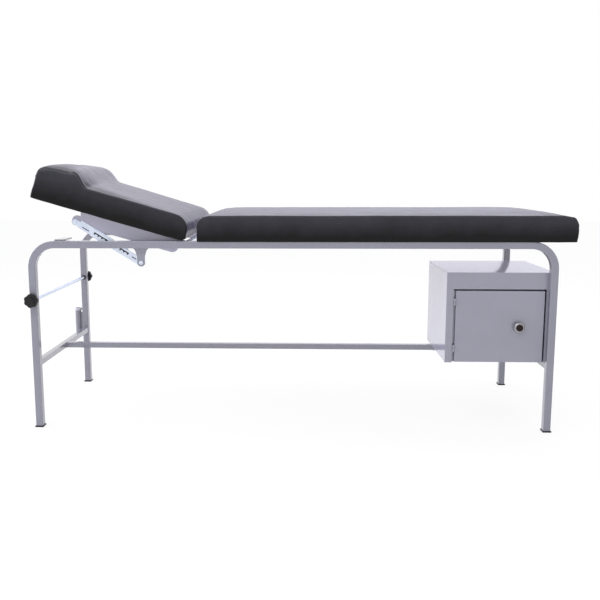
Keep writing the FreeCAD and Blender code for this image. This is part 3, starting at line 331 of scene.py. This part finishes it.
for part in frame["record"]["subparts"]:
    wear(nodes[part["node"]], MATERIALS[part["material_slot"]])
# Lighter, darker and sheened copies of the grey paint: painted light, painted shade and painted sheen
for names, paint in ((PLATE_NODES, "plate_paint_painted_light"), (TUBE_NODES, "tube_paint_painted_shade"), (SHEET_NODES, "sheet_paint_painted_sheen")):
    for name in names:
        wear(nodes[name], MATERIALS[paint])
for names, width in ((SHEET_NODES, 0.0005), (CUT_NODES, 0.0004), (ROUND_NODES, 0.0009)):
    for name in names:
        soften_edges(nodes[name], width)


# Mesh helpers

SQUARE = ((-1, -1), (1, -1), (1, 1), (-1, 1))


def new_piece(name, points, faces, material, smooth=True):
    """A new object at the origin from points in metres."""
    mesh = bpy.data.meshes.new(name)
    mesh.from_pydata([tuple(p) for p in points], [], faces)
    mesh.validate()
    mesh.update()
    piece = bpy.data.objects.new(name, mesh)
    scene.collection.objects.link(piece)
    wear(piece, material)
    if smooth:
        mesh.polygons.foreach_set("use_smooth", [True] * len(mesh.polygons))
    return piece


def joined(meshes):
    """The points and faces of several meshes as those of one."""
    points, faces = [], []
    for more_points, more_faces in meshes:
        shift = len(points)
        points += more_points
        faces += [tuple(i + shift for i in face) for face in more_faces]
    return points, faces


def steps(start, end, count):
    """Even places from start to end, both included."""
    return [start + (end - start) * i / count for i in range(count + 1)]


def crowded(reach, count):
    """Places from -reach to reach that lie closer together near both ends."""
    lean = 0.85 * math.pi / 2
    return [reach * math.sin(lean * t) / math.sin(lean) for t in steps(-1, 1, count)]


def smooth_step(value):
    """A soft rise from 0 to 1 as the value goes from 0 to 1."""
    value = min(max(value, 0.0), 1.0)
    return value * value * (3 - 2 * value)


def ridge(distance, width):
    """A rounded ridge of height 1, at a distance from its middle."""
    return math.exp(-(distance / width) ** 2)


def quarter(depth, length, height):
    """How far a quarter ellipse has fallen at a distance from its end."""
    if depth >= length:
        return 0.0
    return height * (1 - math.sqrt(max(1 - (1 - depth / length) ** 2, 0.0)))


# Cushions: a closed skin of rings along the couch, with a pocket underneath for the board

HALF_WIDTH = 299.0
BOARD_THICK = 12.6
BOARD_INSET = 14
BOARD_ROOM = 0.2


class Cushion:
    """The skin of one cushion. Lengths are in millimetres in the cushion's own frame."""

    ROWS_ACROSS = 96
    ROWS_UP = 14
    EDGE_ANGLES = (22, 45, 68)
    SIDE_BULGE = 2.2

    def __init__(self, stations, top, bottom, edge, crown, corner, pocket, hang=0.0):
        self.stations = stations
        self.top = top
        self.bottom = bottom
        self.edge = edge
        self.crown = crown
        self.corner = corner
        self.pocket = pocket
        self.hang = hang
        self.points = []
        self.faces = []
        self.rings = []
        for x in stations:
            self.rings.append([self.keep(Vector((x, y, z))) for y, z in self.section(x)])
        count = len(self.rings[0])
        for near, far in zip(self.rings, self.rings[1:]):
            for i in range(count):
                after = (i + 1) % count
                self.faces.append((near[i], near[after], far[after], far[i]))
        self.end_rows = [self.close_end(self.rings[0], True), self.close_end(self.rings[-1], False)]

    def keep(self, point):
        """Add a point to the skin, and return its number."""
        self.points.append(point)
        return len(self.points) - 1

    def narrowing(self, x):
        """How much the plan's round corners pull the sides in near an end."""
        depth = min(x - self.stations[0], self.stations[-1] - x)
        if depth >= self.corner:
            return 0.0
        short = self.corner - depth
        return self.corner - math.sqrt(max(self.corner ** 2 - short ** 2, 0.0))

    def section(self, x):
        """The ring at one station: underside, rear side, top and front side, in that order."""
        half = HALF_WIDTH - self.narrowing(x)
        low = self.bottom(x)
        front_top, rear_top = self.top(x, -1), self.top(x, 1)
        edge = min(self.edge(x), (min(front_top, rear_top) - low) * 0.45)
        in_pocket = self.pocket[0] <= x <= self.pocket[1]
        rim = HALF_WIDTH - BOARD_INSET + BOARD_ROOM
        under = []
        inner = crowded(rim, self.ROWS_ACROSS - 6)
        for y in [-half, -half + 4, -rim - 0.3] + inner + [rim + 0.3, half - 4, half]:
            raised = in_pocket and abs(y) <= rim
            under.append((y, low + BOARD_THICK if raised else low - self.drop(x, y, half)))
        flat_half = half - edge
        flat = []
        for y in crowded(flat_half, self.ROWS_ACROSS - 8):
            share = -y / flat_half
            flat.append((-y, self.top(x, share) + self.crown(x) * (1 - abs(share) ** 3)))
        hem = low - self.drop(x, half, half)
        rear = self.side_rows(half, hem, rear_top, edge)
        front = [(-y, z) for y, z in reversed(self.side_rows(half, hem, front_top, edge))]
        return under[:-1] + rear + flat + front[:-1]

    def side_rows(self, half, low, high, edge):
        """One side from the underside up and over its top edge."""
        rows = [(half + self.bulge(t, high - low), low + t * (high - edge - low))
                for t in steps(0, 1, self.ROWS_UP)]
        for angle in self.EDGE_ANGLES:
            lean = math.radians(angle)
            rows.append((half - edge + edge * math.cos(lean), high - edge + edge * math.sin(lean)))
        return rows

    def drop(self, x, y, half):
        """How far the cover hangs below the underside at its rim and at its far end."""
        at_side = smooth_step((abs(y) - half + 3.5) / 3)
        at_end = smooth_step((x - self.stations[-1] + 3.5) / 3)
        return self.hang * max(at_side, at_end)

    def bulge(self, t, height):
        """The sides stand out a little at mid height."""
        return self.SIDE_BULGE * math.sin(math.pi * t) if height > 30 else 0.0

    def close_end(self, ring, first):
        """Fill an end with a grid, and return its rows from the underside up."""
        across, up = self.ROWS_ACROSS, self.ROWS_UP
        lower = ring[:across + 1]
        rear = ring[across:across + up + 1]
        upper = ring[across + up:across + up + across + 1][::-1]
        front = (ring[across + up + across:] + [ring[0]])[::-1]
        rows = [lower]
        for k in range(1, up):
            v = k / up
            row = [front[k]]
            for j in range(1, across):
                u = j / across
                mixed = (self.points[lower[j]] * (1 - v) + self.points[upper[j]] * v
                         + self.points[front[k]] * (1 - u) + self.points[rear[k]] * u
                         - self.points[lower[0]] * (1 - u) * (1 - v) - self.points[lower[-1]] * u * (1 - v)
                         - self.points[upper[0]] * (1 - u) * v - self.points[upper[-1]] * u * v)
                row.append(self.keep(mixed))
            row.append(rear[k])
            rows.append(row)
        rows.append(upper)
        for near, far in zip(rows, rows[1:]):
            for j in range(across):
                face = (near[j], near[j + 1], far[j + 1], far[j])
                self.faces.append(face[::-1] if first else face)
        return rows


def dense_stations(start, end, start_round, end_round, pitch, extra):
    """Stations that crowd together over the rounded ends, with extra ones at the pocket's walls."""
    places = [start + start_round * (1 - math.cos(math.radians(a))) for a in range(0, 85, 12)]
    places += [end - end_round * (1 - math.cos(math.radians(a))) for a in range(0, 76, 15)]
    flat_start, flat_end = start + start_round, end - end_round
    places += steps(flat_start, flat_end, round((flat_end - flat_start) / pitch))
    places = sorted(places + list(extra))
    kept = [places[0]]
    for x in places[1:]:
        if x - kept[-1] > 0.15:
            kept.append(x)
    return kept


# The seat, whose frame has its origin on the rails above the table's own

SEAT_HEAD, SEAT_FOOT = -317.0, 953.0
SEAT_THICK = 87.0
SEAT_HEAD_ROUND = 46
SEAT_POCKET = (SEAT_HEAD + 17.4, SEAT_FOOT - 17.4)
SEAT_EXTRA = (SEAT_HEAD + 16.5, SEAT_HEAD + 17.5, SEAT_FOOT - 18.5, SEAT_FOOT - 17.5, SEAT_FOOT - 3.6)


def seat_top(x, share):
    """The same right across: well rounded at the head end, and falling a little to the foot end."""
    fall = 6 * smooth_step(1 - (SEAT_FOOT - x) / 50)
    return SEAT_THICK - quarter(x - SEAT_HEAD, SEAT_HEAD_ROUND, 36) - quarter(SEAT_FOOT - x, 10, 7) - fall


def seat_bottom(x):
    """Flat, with a small round at both ends."""
    return quarter(SEAT_FOOT - x, 4, 2) + quarter(x - SEAT_HEAD, 4, 2)


def seat_edge(x):
    """The round of the top edges, the same all along."""
    return 5.0


def seat_crown(x):
    """How much higher the top is in the middle than at its sides."""
    return 7.0 * smooth_step((x - SEAT_HEAD) / 90) * smooth_step((SEAT_FOOT - x) / 120)


def round_foot(cushion):
    """Lean the foot end so that it stands out at mid height and falls back towards the top."""
    for point in cushion.points:
        near = smooth_step(1 - (SEAT_FOOT - point.x) / 60)
        height = point.z / SEAT_THICK
        outward = 5.5 * math.sin(math.pi * min(height, 1.0))
        inward = 8.0 * smooth_step((height - 0.55) / 0.45)
        point.x += near * (outward - inward)


seat_stations = dense_stations(SEAT_HEAD, SEAT_FOOT, SEAT_HEAD_ROUND, 12, 10, SEAT_EXTRA)
seat = Cushion(seat_stations, seat_top, seat_bottom, seat_edge, seat_crown, 8.0, SEAT_POCKET, hang=3.0)
round_foot(seat)


# The back, whose frame has its origin at the pivot and its x axis along the tilted backrest

BACK_HEAD, BACK_HINGE = -538.0, 7.0
BACK_FLAT = 96.0
PILLOW_TOP = 134.0
BACK_HEAD_ROUND, BACK_HINGE_ROUND = 30, 52
BACK_POCKET = (BACK_HEAD + 17.4, BACK_HINGE - 38.4)
BACK_EXTRA = (BACK_HEAD + 16.5, BACK_HEAD + 17.5, BACK_HINGE - 39.5, BACK_HINGE - 38.5)


def back_top(x, share):
    """The pillow's step is short at the front edge, long in the middle, and further off at the rear."""
    reach = -x
    middle = 1 - share ** 2
    step_start = 363 + 17 * (1 + share) - 34 * middle
    step_length = 50 + 50 * middle
    height = BACK_FLAT + (PILLOW_TOP - BACK_FLAT) * smooth_step((reach - step_start) / step_length)
    height -= 8 * smooth_step((reach - 440) / 100)
    at_hinge = quarter(BACK_HINGE - x, BACK_HINGE_ROUND, 46)
    at_head = quarter(x - BACK_HEAD, BACK_HEAD_ROUND, 24)
    return height - at_hinge - at_head


def back_bottom(x):
    """The heel is cut back just enough to clear the rails when the backrest stands up."""
    heel = max(0.0, 4.2 + 0.86 * x)
    return BACK_BASE + heel + quarter(x - BACK_HEAD, 5, 3)


def back_edge(x):
    """The round of the top edges, softer on the pillow."""
    return 5.0 + 10.0 * smooth_step((-x - 390) / 45)


def back_crown(x):
    """How much higher the top is in the middle than at its sides."""
    return 3.0 * smooth_step((BACK_HINGE - x) / 120) + 10.0 * smooth_step((-x - 60) / 300)


back_stations = dense_stations(BACK_HEAD, BACK_HINGE, BACK_HEAD_ROUND, BACK_HINGE_ROUND, 7, BACK_EXTRA)
back = Cushion(back_stations, back_top, back_bottom, back_edge, back_crown, 9.0, BACK_POCKET)


# The covers: blown up by a cloth simulation, creased and subdivided

PUFF_CAP = 0.003
PUFF_FRAMES = 20
EVEN_ROUNDS = 40
HELD_BELOW = 10
PLAIN_BELOW = 12


def even_out(mesh, moves):
    """Share each point's move with its neighbours, so that no wrinkle is as small as the mesh."""
    edges = np.empty(len(mesh.edges) * 2, dtype=np.int32)
    mesh.edges.foreach_get("vertices", edges)
    first, second = edges.reshape(-1, 2).T
    neighbours = np.bincount(edges, minlength=len(moves))[:, None]
    for _ in range(EVEN_ROUNDS):
        total = np.zeros_like(moves)
        np.add.at(total, first, moves[second])
        np.add.at(total, second, moves[first])
        moves = (moves + total / neighbours) / 2
    return moves


def inflate(piece, floor):
    """Blow the cover up a little with a cloth simulation, holding its underside, and keep the result."""
    mesh = piece.data
    held = piece.vertex_groups.new(name="held")
    held.add([v.index for v in mesh.vertices if v.co.z < floor], 1.0, "REPLACE")
    cloth = piece.modifiers.new("cloth", "CLOTH")
    settings = cloth.settings
    settings.quality = 5
    settings.mass = 0.3
    settings.tension_stiffness = 30
    settings.compression_stiffness = 18
    settings.shear_stiffness = 12
    settings.bending_stiffness = 1.5
    settings.use_pressure = True
    settings.uniform_pressure_force = 4
    settings.effector_weights.gravity = 0
    settings.vertex_group_mass = "held"
    cloth.collision_settings.use_collision = False
    cloth.collision_settings.use_self_collision = False
    for moment in range(1, PUFF_FRAMES + 1):
        scene.frame_set(moment)
    graph = bpy.context.evaluated_depsgraph_get()
    swollen = [v.co.copy() for v in piece.evaluated_get(graph).data.vertices]
    piece.modifiers.remove(cloth)
    piece.vertex_groups.remove(held)
    moves = np.array([place - vertex.co for place, vertex in zip(swollen, mesh.vertices)])
    lengths = np.maximum(np.linalg.norm(moves, axis=1, keepdims=True), 1e-9)
    moves = even_out(mesh, moves * np.minimum(1, PUFF_CAP / lengths))
    for vertex, move in zip(mesh.vertices, moves):
        vertex.co += Vector(move)
    scene.frame_set(1)
    mesh.update()


def make_pad(name, cushion, base, cover):
    """A cushion's skin as a piece in its own frame, simulated and to be subdivided once."""
    piece = new_piece(name, [p * MM for p in cushion.points], cushion.faces, MATERIALS[cover])
    inflate(piece, (base + HELD_BELOW) * MM)
    smooth = piece.modifiers.new("subdivision", "SUBSURF")
    smooth.levels = 1
    smooth.render_levels = 1
    return piece


def crumple(piece, depth_at):
    """Push each point of a piece along its normal by a depth that depends on its place."""
    normals = [v.normal.copy() for v in piece.data.vertices]
    for vertex, normal in zip(piece.data.vertices, normals):
        vertex.co += normal * depth_at(vertex.co / MM) * MM
    piece.data.update()


def ripple(place, scale, seed):
    """Smooth noise between about -1 and 1, with a scale along each axis."""
    stretched = Vector((place.x * scale[0], place.y * scale[1], place.z * scale[2]))
    return noise.noise(stretched + Vector((seed,) * 3))


def seat_creases(place):
    """Slow waves over the whole cover, tucks at both ends, and a fold along the sides near the foot end."""
    if place.z < PLAIN_BELOW:
        return 0.6 * ripple(place, (0.02, 0.02, 0.02), 3)
    waves = 0.9 * ripple(place, (0.006, 0.014, 0.02), 11) + 0.4 * ripple(place, (0.03, 0.05, 0.05), 5)
    end = min(place.x - SEAT_HEAD, SEAT_FOOT - place.x)
    tucks = math.exp(-max(end, 0) / 25) * 0.9 * ripple(place, (0.01, 0.045, 0.01), 2)
    fold_height = 49 + 12 * smooth_step((880 - place.x) / 50)
    on_side = smooth_step((abs(place.y) - 285) / 10) * smooth_step((place.x - 825) / 30)
    fold = on_side * (1.3 * ridge(place.z - fold_height - 7, 6) - 1.3 * ridge(place.z - fold_height + 3, 5))
    return waves + tucks + fold


def back_creases(place):
    """Waves, folds down the pillow's step, pleats over the hinge end, and folds on the pillow's sides."""
    if place.z < BACK_BASE + PLAIN_BELOW:
        return 0.6 * ripple(place, (0.02, 0.02, 0.02), 7)
    reach = -place.x
    inward = HALF_WIDTH - abs(place.y)
    waves = 1.0 * ripple(place, (0.008, 0.013, 0.02), 17) + 0.5 * ripple(place, (0.03, 0.05, 0.05), 9)
    on_step = smooth_step((reach - 356) / 14) * smooth_step((432 - reach) / 18)
    on_top = smooth_step((place.z - 88) / 10)
    folds = on_step * on_top * (2.6 * ridge(inward - 5, 3.0) - 4.6 * ridge(inward - 11, 3.4)
                                + 3.0 * ridge(inward - 18, 4.0))
    valley = -1.2 * ridge(reach - 366, 10.0) * on_top * ridge(inward, 40)
    pleats = math.exp(-max(reach + 5, 0) / 22) * ripple(place, (0.015, 0.07, 0.015), 29)
    on_pillow_side = smooth_step((abs(place.y) - 288) / 8) * smooth_step((reach - 395) / 25)
    side_folds = 1.6 * on_pillow_side * ripple(place, (0.012, 0.0, 0.10), 41)
    return waves + folds + valley + pleats + side_folds


seat_pad = make_pad("seat_pad", seat, 0, "vinyl")
crumple(seat_pad, seat_creases)
seat_place = Matrix.Translation(Vector((0, 0, RAIL_TOP)) * MM)
back_pad = make_pad("back_pad", back, BACK_BASE, "back_vinyl")
crumple(back_pad, back_creases)
back_place = Matrix.Translation(PIVOT * MM) @ Matrix.Rotation(TILT, 4, "Y")

for pad, place, body, node_name in ((seat_pad, seat_place, "frame", "seat_cushion"),
                                    (back_pad, back_place, "backrest", "back_cushion")):
    pad.data.transform(place)
    pad.data.update()
    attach(pad, body)
    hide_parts(node_name)


# Sewn seams: a raised line just below the top edge, right round each cushion

SEAM_ROW = 13
SEAM_RADIUS = 0.0008


def tube_mesh(path, radius, sides=6, closed=True, ripple_length=0.0, ripple_depth=0.0):
    """Points and faces of a thin tube along a path, with an even ripple where one is asked for."""
    count = len(path)
    points, faces = [], []
    travelled = 0.0
    for i, here in enumerate(path):
        before = path[i - 1] if closed or i else path[i]
        after = path[(i + 1) % count] if closed or i < count - 1 else path[i]
        along = (after - before).normalized()
        side = along.cross(Vector((0, 0, 1)))
        if side.length < 1e-4:
            side = along.cross(Vector((1, 0, 0)))
        side.normalize()
        up = side.cross(along)
        if i:
            travelled += (here - path[i - 1]).length
        width = radius
        if ripple_length:
            width += ripple_depth * math.sin(2 * math.pi * travelled / ripple_length)
        for k in range(sides):
            angle = 2 * math.pi * k / sides
            points.append(here + side * (width * math.cos(angle)) + up * (width * math.sin(angle)))
    last = count if closed else count - 1
    for i in range(last):
        near, far = i * sides, ((i + 1) % count) * sides
        for k in range(sides):
            after = (k + 1) % sides
            faces.append((near + k, near + after, far + after, far + k))
    if not closed:
        faces.append(tuple(range(sides))[::-1])
        faces.append(tuple(range((count - 1) * sides, count * sides)))
    return points, faces


def seam_path(cushion, pad, row):
    """The cover's own points along one height, round both sides and both ends."""
    first_rear = cushion.ROWS_ACROSS
    ring_size = len(cushion.rings[0])
    rear = [ring[first_rear + row] for ring in cushion.rings]
    front = [ring[ring_size - row] for ring in cushion.rings]
    head = cushion.end_rows[0][row]
    foot = cushion.end_rows[1][row]
    loop = front + foot[1:-1] + rear[::-1] + head[::-1][1:-1]
    return [pad.data.vertices[i].co.copy() for i in loop]


for cushion, pad, body, cover in ((seat, seat_pad, "frame", "vinyl"),
                                  (back, back_pad, "backrest", "back_vinyl")):
    points, faces = tube_mesh(seam_path(cushion, pad, SEAM_ROW), SEAM_RADIUS)
    seam = new_piece(pad.name.replace("pad", "seam"), points, faces, MATERIALS[cover])
    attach(seam, body)


# Thin dark strips inside the ratchets as painted shade, put where there is only shade, seen through the
# bars' slots and notches

SHADE_STRIP_THICK = 0.3
LOWER_SHADE_STRIP_Y = 262.1
UPPER_SHADE_STRIP_Y = 258.6
LOWER_SHADE_STRIP_RUNS = ((50, 192, -3.5, 6.5), (18, 40, -2.5, 2.5))
UPPER_SHADE_STRIP_RUNS = ((-69, -28, -5, 0),)


def shade_strip(name, body, pin, side, inner_y, runs):
    """Flat strips with round ends, each given by its run along the bar and its edges across it."""
    along = (UPPER_PIN - LOWER_PIN).normalized()
    across = Vector((-along.z, 0, along.x))
    if across.z < 0:
        across = -across
    points, faces = [], []
    for start, end, low, high in runs:
        radius = (high - low) / 2
        outline = []
        for middle, turn in ((end - radius, -90), (start + radius, 90)):
            for step in range(9):
                angle = math.radians(turn + step * 22.5)
                outline.append((middle + radius * math.cos(angle), low + radius + radius * math.sin(angle)))
        first, count = len(points), len(outline)
        for depth in (inner_y, inner_y + SHADE_STRIP_THICK):
            for run, height in outline:
                spot = pin + along * run + across * height
                points.append(Vector((spot.x, side * depth, spot.z)) * MM)
        faces.append(tuple(first + i for i in range(count)))
        faces.append(tuple(first + count + i for i in reversed(range(count))))
        for i in range(count):
            after = (i + 1) % count
            faces.append((first + i, first + count + i, first + count + after, first + after))
    # Black plastic here is painted shade: a dark sheet where the bars' slots would show only shade
    strip = new_piece(name, points, faces, MATERIALS["black_plastic"], smooth=False)
    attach(strip, body)


for place_name, side in (("front", -1), ("rear", 1)):
    shade_strip(f"lower_guide_{place_name}", f"ratchet_lower_{place_name}", LOWER_PIN, side,
                LOWER_SHADE_STRIP_Y, LOWER_SHADE_STRIP_RUNS)
    shade_strip(f"upper_guide_{place_name}", f"ratchet_upper_{place_name}", UPPER_PIN, side,
                UPPER_SHADE_STRIP_Y, UPPER_SHADE_STRIP_RUNS)


# The folded edge of the cabinet's left upright, in the gap beside the door, between the hinges and past them

JAMB_SIDES = (556.6, 563.2)
JAMB_DEPTH = (-262, -261)
JAMB_RUNS = ((241, 276.5), (302.5, 438), (464, 489))
BOX_FACES = ((0, 2, 3, 1), (4, 5, 7, 6), (0, 1, 5, 4), (2, 6, 7, 3), (0, 4, 6, 2), (1, 3, 7, 5))


def box_mesh(across, deep, high):
    """Points and faces of a box given by its two ends along each axis in millimetres."""
    return [Vector((x, y, z)) * MM for z in high for y in deep for x in across], BOX_FACES


jamb_points, jamb_faces = joined(box_mesh(JAMB_SIDES, JAMB_DEPTH, run) for run in JAMB_RUNS)
jamb = new_piece("door_jamb", jamb_points, jamb_faces, MATERIALS["grey_paint"], smooth=False)
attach(jamb, "frame")


# Weld beads where the tubes and plates meet

BEAD_RADIUS = 0.0016
BEAD_SIDES = 8
BEAD_RIPPLE_LENGTH = 0.0035
BEAD_RIPPLE_DEPTH = 0.0003


def bead_path(corners, closed):
    """Points every millimetre or so along straight runs between corners given in millimetres."""
    corners = [Vector(c) for c in corners]
    runs = zip(corners, corners[1:] + corners[:1]) if closed else zip(corners, corners[1:])
    path = []
    for start, end in runs:
        count = max(int((end - start).length), 2)
        path += [start.lerp(end, i / count) * MM for i in range(count)]
    if not closed:
        path.append(corners[-1] * MM)
    return path


def bead_mesh(corners, closed):
    """Points and faces of one rippled bead."""
    path = bead_path(corners, closed)
    return tube_mesh(path, BEAD_RADIUS, BEAD_SIDES, closed, BEAD_RIPPLE_LENGTH, BEAD_RIPPLE_DEPTH)


def square_round(centre, half, axis):
    """Corners of a square round a tube's end, facing along an axis."""
    x, y, z = centre
    if axis == "y":
        return [(x + a * half, y, z + b * half) for a, b in SQUARE]
    return [(x, y + a * half, z + b * half) for a, b in SQUARE]


bead_runs = []
for end in (-1, 1):
    for side in (-1, 1):
        crossbar_end = (end * LEG_X, side * RAIL_INNER, BRACE_MIDDLE)
        bead_runs.append((square_round(crossbar_end, BRACE / 2, "y"), True))
    stretcher_end = (end * (LEG_X - BRACE / 2), 0, BRACE_MIDDLE)
    bead_runs.append((square_round(stretcher_end, BRACE / 2, "x"), True))
for side in (-1, 1):
    y = side * RAIL_INNER
    for x in SEAT_BARS:
        left, right = x - SEAT_BAR / 2, x + SEAT_BAR / 2
        high, low = RAIL_TOP - 3, RAIL_TOP - SEAT_BAR
        bead_runs.append(([(left, y, high), (left, y, low), (right, y, low), (right, y, high)], False))
    bead_runs.append(([(x, y, RAIL_BOTTOM) for x in BRACKET_ENDS], False))
    for x in TAB_ENDS:
        bead_runs.append(([(x, side * depth, RAIL_TOP) for depth in TAB_SIDES], False))
for offset in WEB_SIDES:
    bead_runs.append(([(-LEG_X - TUBE / 2, LEG_Y + offset, height) for height in WEB_HEIGHTS], False))

weld_points, weld_faces = joined(bead_mesh(corners, closed) for corners, closed in bead_runs)
welds = new_piece("weld_beads", weld_points, weld_faces, MATERIALS["grey_paint"])
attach(welds, "frame")


# Floor, light and camera

FLOOR_HALF = 12.0
FLOOR_GLOW = 0.85
LAMP_TINT = (0.93, 0.92, 1.0)


def shows_background(tree):
    """One for the rays that show the background: the camera's own, and those off metal or through glass."""
    rays = add(tree, "ShaderNodeLightPath")
    seen = rays.outputs["Is Camera Ray"]
    for kind in ("Is Glossy Ray", "Is Transmission Ray"):
        either = add(tree, "ShaderNodeMath", operation="MAXIMUM")
        tree.links.new(seen, either.inputs[0])
        tree.links.new(rays.outputs[kind], either.inputs[1])
        seen = either.outputs[0]
    return seen


def white_floor():
    """Near-white paint that glows where it is the background, so that only soft shadows show."""
    material, tree, main = shader("floor")
    set_inputs(main, {"Base Color": (0.93, 0.93, 0.94, 1), "Roughness": 0.7})
    glow = add(tree, "ShaderNodeEmission", {"Color": (1, 1, 1, 1), "Strength": 1.0})
    share = add(tree, "ShaderNodeMath", {1: FLOOR_GLOW}, operation="MULTIPLY")
    mixed = add(tree, "ShaderNodeMixShader")
    output = next(n for n in tree.nodes if n.type == "OUTPUT_MATERIAL")
    tree.links.new(shows_background(tree), share.inputs[0])
    tree.links.new(share.outputs[0], mixed.inputs["Fac"])
    tree.links.new(main.outputs[0], mixed.inputs[1])
    tree.links.new(glow.outputs[0], mixed.inputs[2])
    tree.links.new(mixed.outputs[0], output.inputs["Surface"])
    return material


def make_floor():
    """One large square under the table."""
    corners = [(FLOOR_HALF * a, FLOOR_HALF * b, 0) for a, b in SQUARE]
    floor = new_piece("floor", corners, [(0, 1, 2, 3)], white_floor(), smooth=False)


def make_world():
    """Soft light, strongest from behind, from above and from the head end; plain white where it is seen."""
    world = bpy.data.worlds.new("studio")
    scene.world = world
    world.use_nodes = True
    tree = world.node_tree
    tree.nodes.clear()
    where = add(tree, "ShaderNodeTexCoord")
    split = add(tree, "ShaderNodeSeparateXYZ")
    tree.links.new(where.outputs["Generated"], split.inputs["Vector"])
    total = None
    for axis, weight in (("X", -0.40), ("Y", 0.45), ("Z", 0.75)):
        part = add(tree, "ShaderNodeMath", {1: weight}, operation="MULTIPLY")
        tree.links.new(split.outputs[axis], part.inputs[0])
        if total is None:
            total = part.outputs[0]
            continue
        both = add(tree, "ShaderNodeMath", operation="ADD")
        tree.links.new(total, both.inputs[0])
        tree.links.new(part.outputs[0], both.inputs[1])
        total = both.outputs[0]
    level = spread(tree, total, 0.40, 1.05, -0.45, 0.45)
    studio = add(tree, "ShaderNodeBackground", {"Color": (0.95, 0.95, 1.0, 1)})
    tree.links.new(level, studio.inputs["Strength"])
    white = add(tree, "ShaderNodeBackground", {"Color": (1, 1, 1, 1), "Strength": 1.0})
    mixed = add(tree, "ShaderNodeMixShader")
    output = add(tree, "ShaderNodeOutputWorld")
    tree.links.new(shows_background(tree), mixed.inputs["Fac"])
    tree.links.new(studio.outputs[0], mixed.inputs[1])
    tree.links.new(white.outputs[0], mixed.inputs[2])
    tree.links.new(mixed.outputs[0], output.inputs["Surface"])


def softbox(name, place, aim, size, power, tint=LAMP_TINT):
    """A rectangular lamp at a place, turned to a point. Lengths are in metres, power is in watts."""
    data = bpy.data.lights.new(name, "AREA")
    data.shape = "RECTANGLE"
    data.size, data.size_y = size
    data.energy = power
    data.color = tint
    lamp = bpy.data.objects.new(name, data)
    scene.collection.objects.link(lamp)
    lamp.location = place
    lamp.rotation_euler = (Vector(aim) - Vector(place)).to_track_quat("-Z", "Y").to_euler()


def make_camera():
    """The photograph's view: fitted place, direction, focal length and framing."""
    frame_pixels, focal_pixels = 600, 706.5
    centre_pixels = (278.1, 279.5)
    yaw, pitch, roll = (math.radians(a) for a in (-2.078, 8.148, -0.105))
    data = bpy.data.cameras.new("camera")
    data.sensor_width = 36
    data.lens = focal_pixels / frame_pixels * data.sensor_width
    data.shift_x = (frame_pixels / 2 - centre_pixels[0]) / frame_pixels
    data.shift_y = (centre_pixels[1] - frame_pixels / 2) / frame_pixels
    data.clip_start, data.clip_end = 0.05, 100
    camera = bpy.data.objects.new("camera", data)
    scene.collection.objects.link(camera)
    camera.location = (0.0455, -2.6617, 0.8686)
    ahead = Vector((math.sin(yaw) * math.cos(pitch), math.cos(yaw) * math.cos(pitch), -math.sin(pitch)))
    level = Vector((math.cos(yaw), -math.sin(yaw), 0))
    above = level.cross(ahead)
    right = level * math.cos(roll) + above * math.sin(roll)
    upwards = above * math.cos(roll) - level * math.sin(roll)
    camera.rotation_euler = Matrix((right, upwards, -ahead)).transposed().to_euler()
    scene.camera = camera


make_floor()
make_world()
softbox("key", (-1.2, -1.6, 2.9), (0, 0, 0.6), (2.4, 1.6), 32)
softbox("top", (0.3, 0.6, 3.0), (0.1, 0, 0.6), (3.0, 1.8), 36)
softbox("head", (-3.2, 0.3, 1.2), (0.6, 0, 0.4), (1.6, 1.6), 36)
softbox("back", (0.2, 3.0, 2.2), (0.0, 0, 0.7), (3.6, 0.9), 14, (0.84, 0.82, 1.0))
softbox("low_back", (0.2, 3.2, 1.0), (0.2, 0, 0.6), (3.8, 1.0), 2.5, (0.5, 0.5, 1.0))
make_camera()
scene.view_settings.view_transform = "Standard"
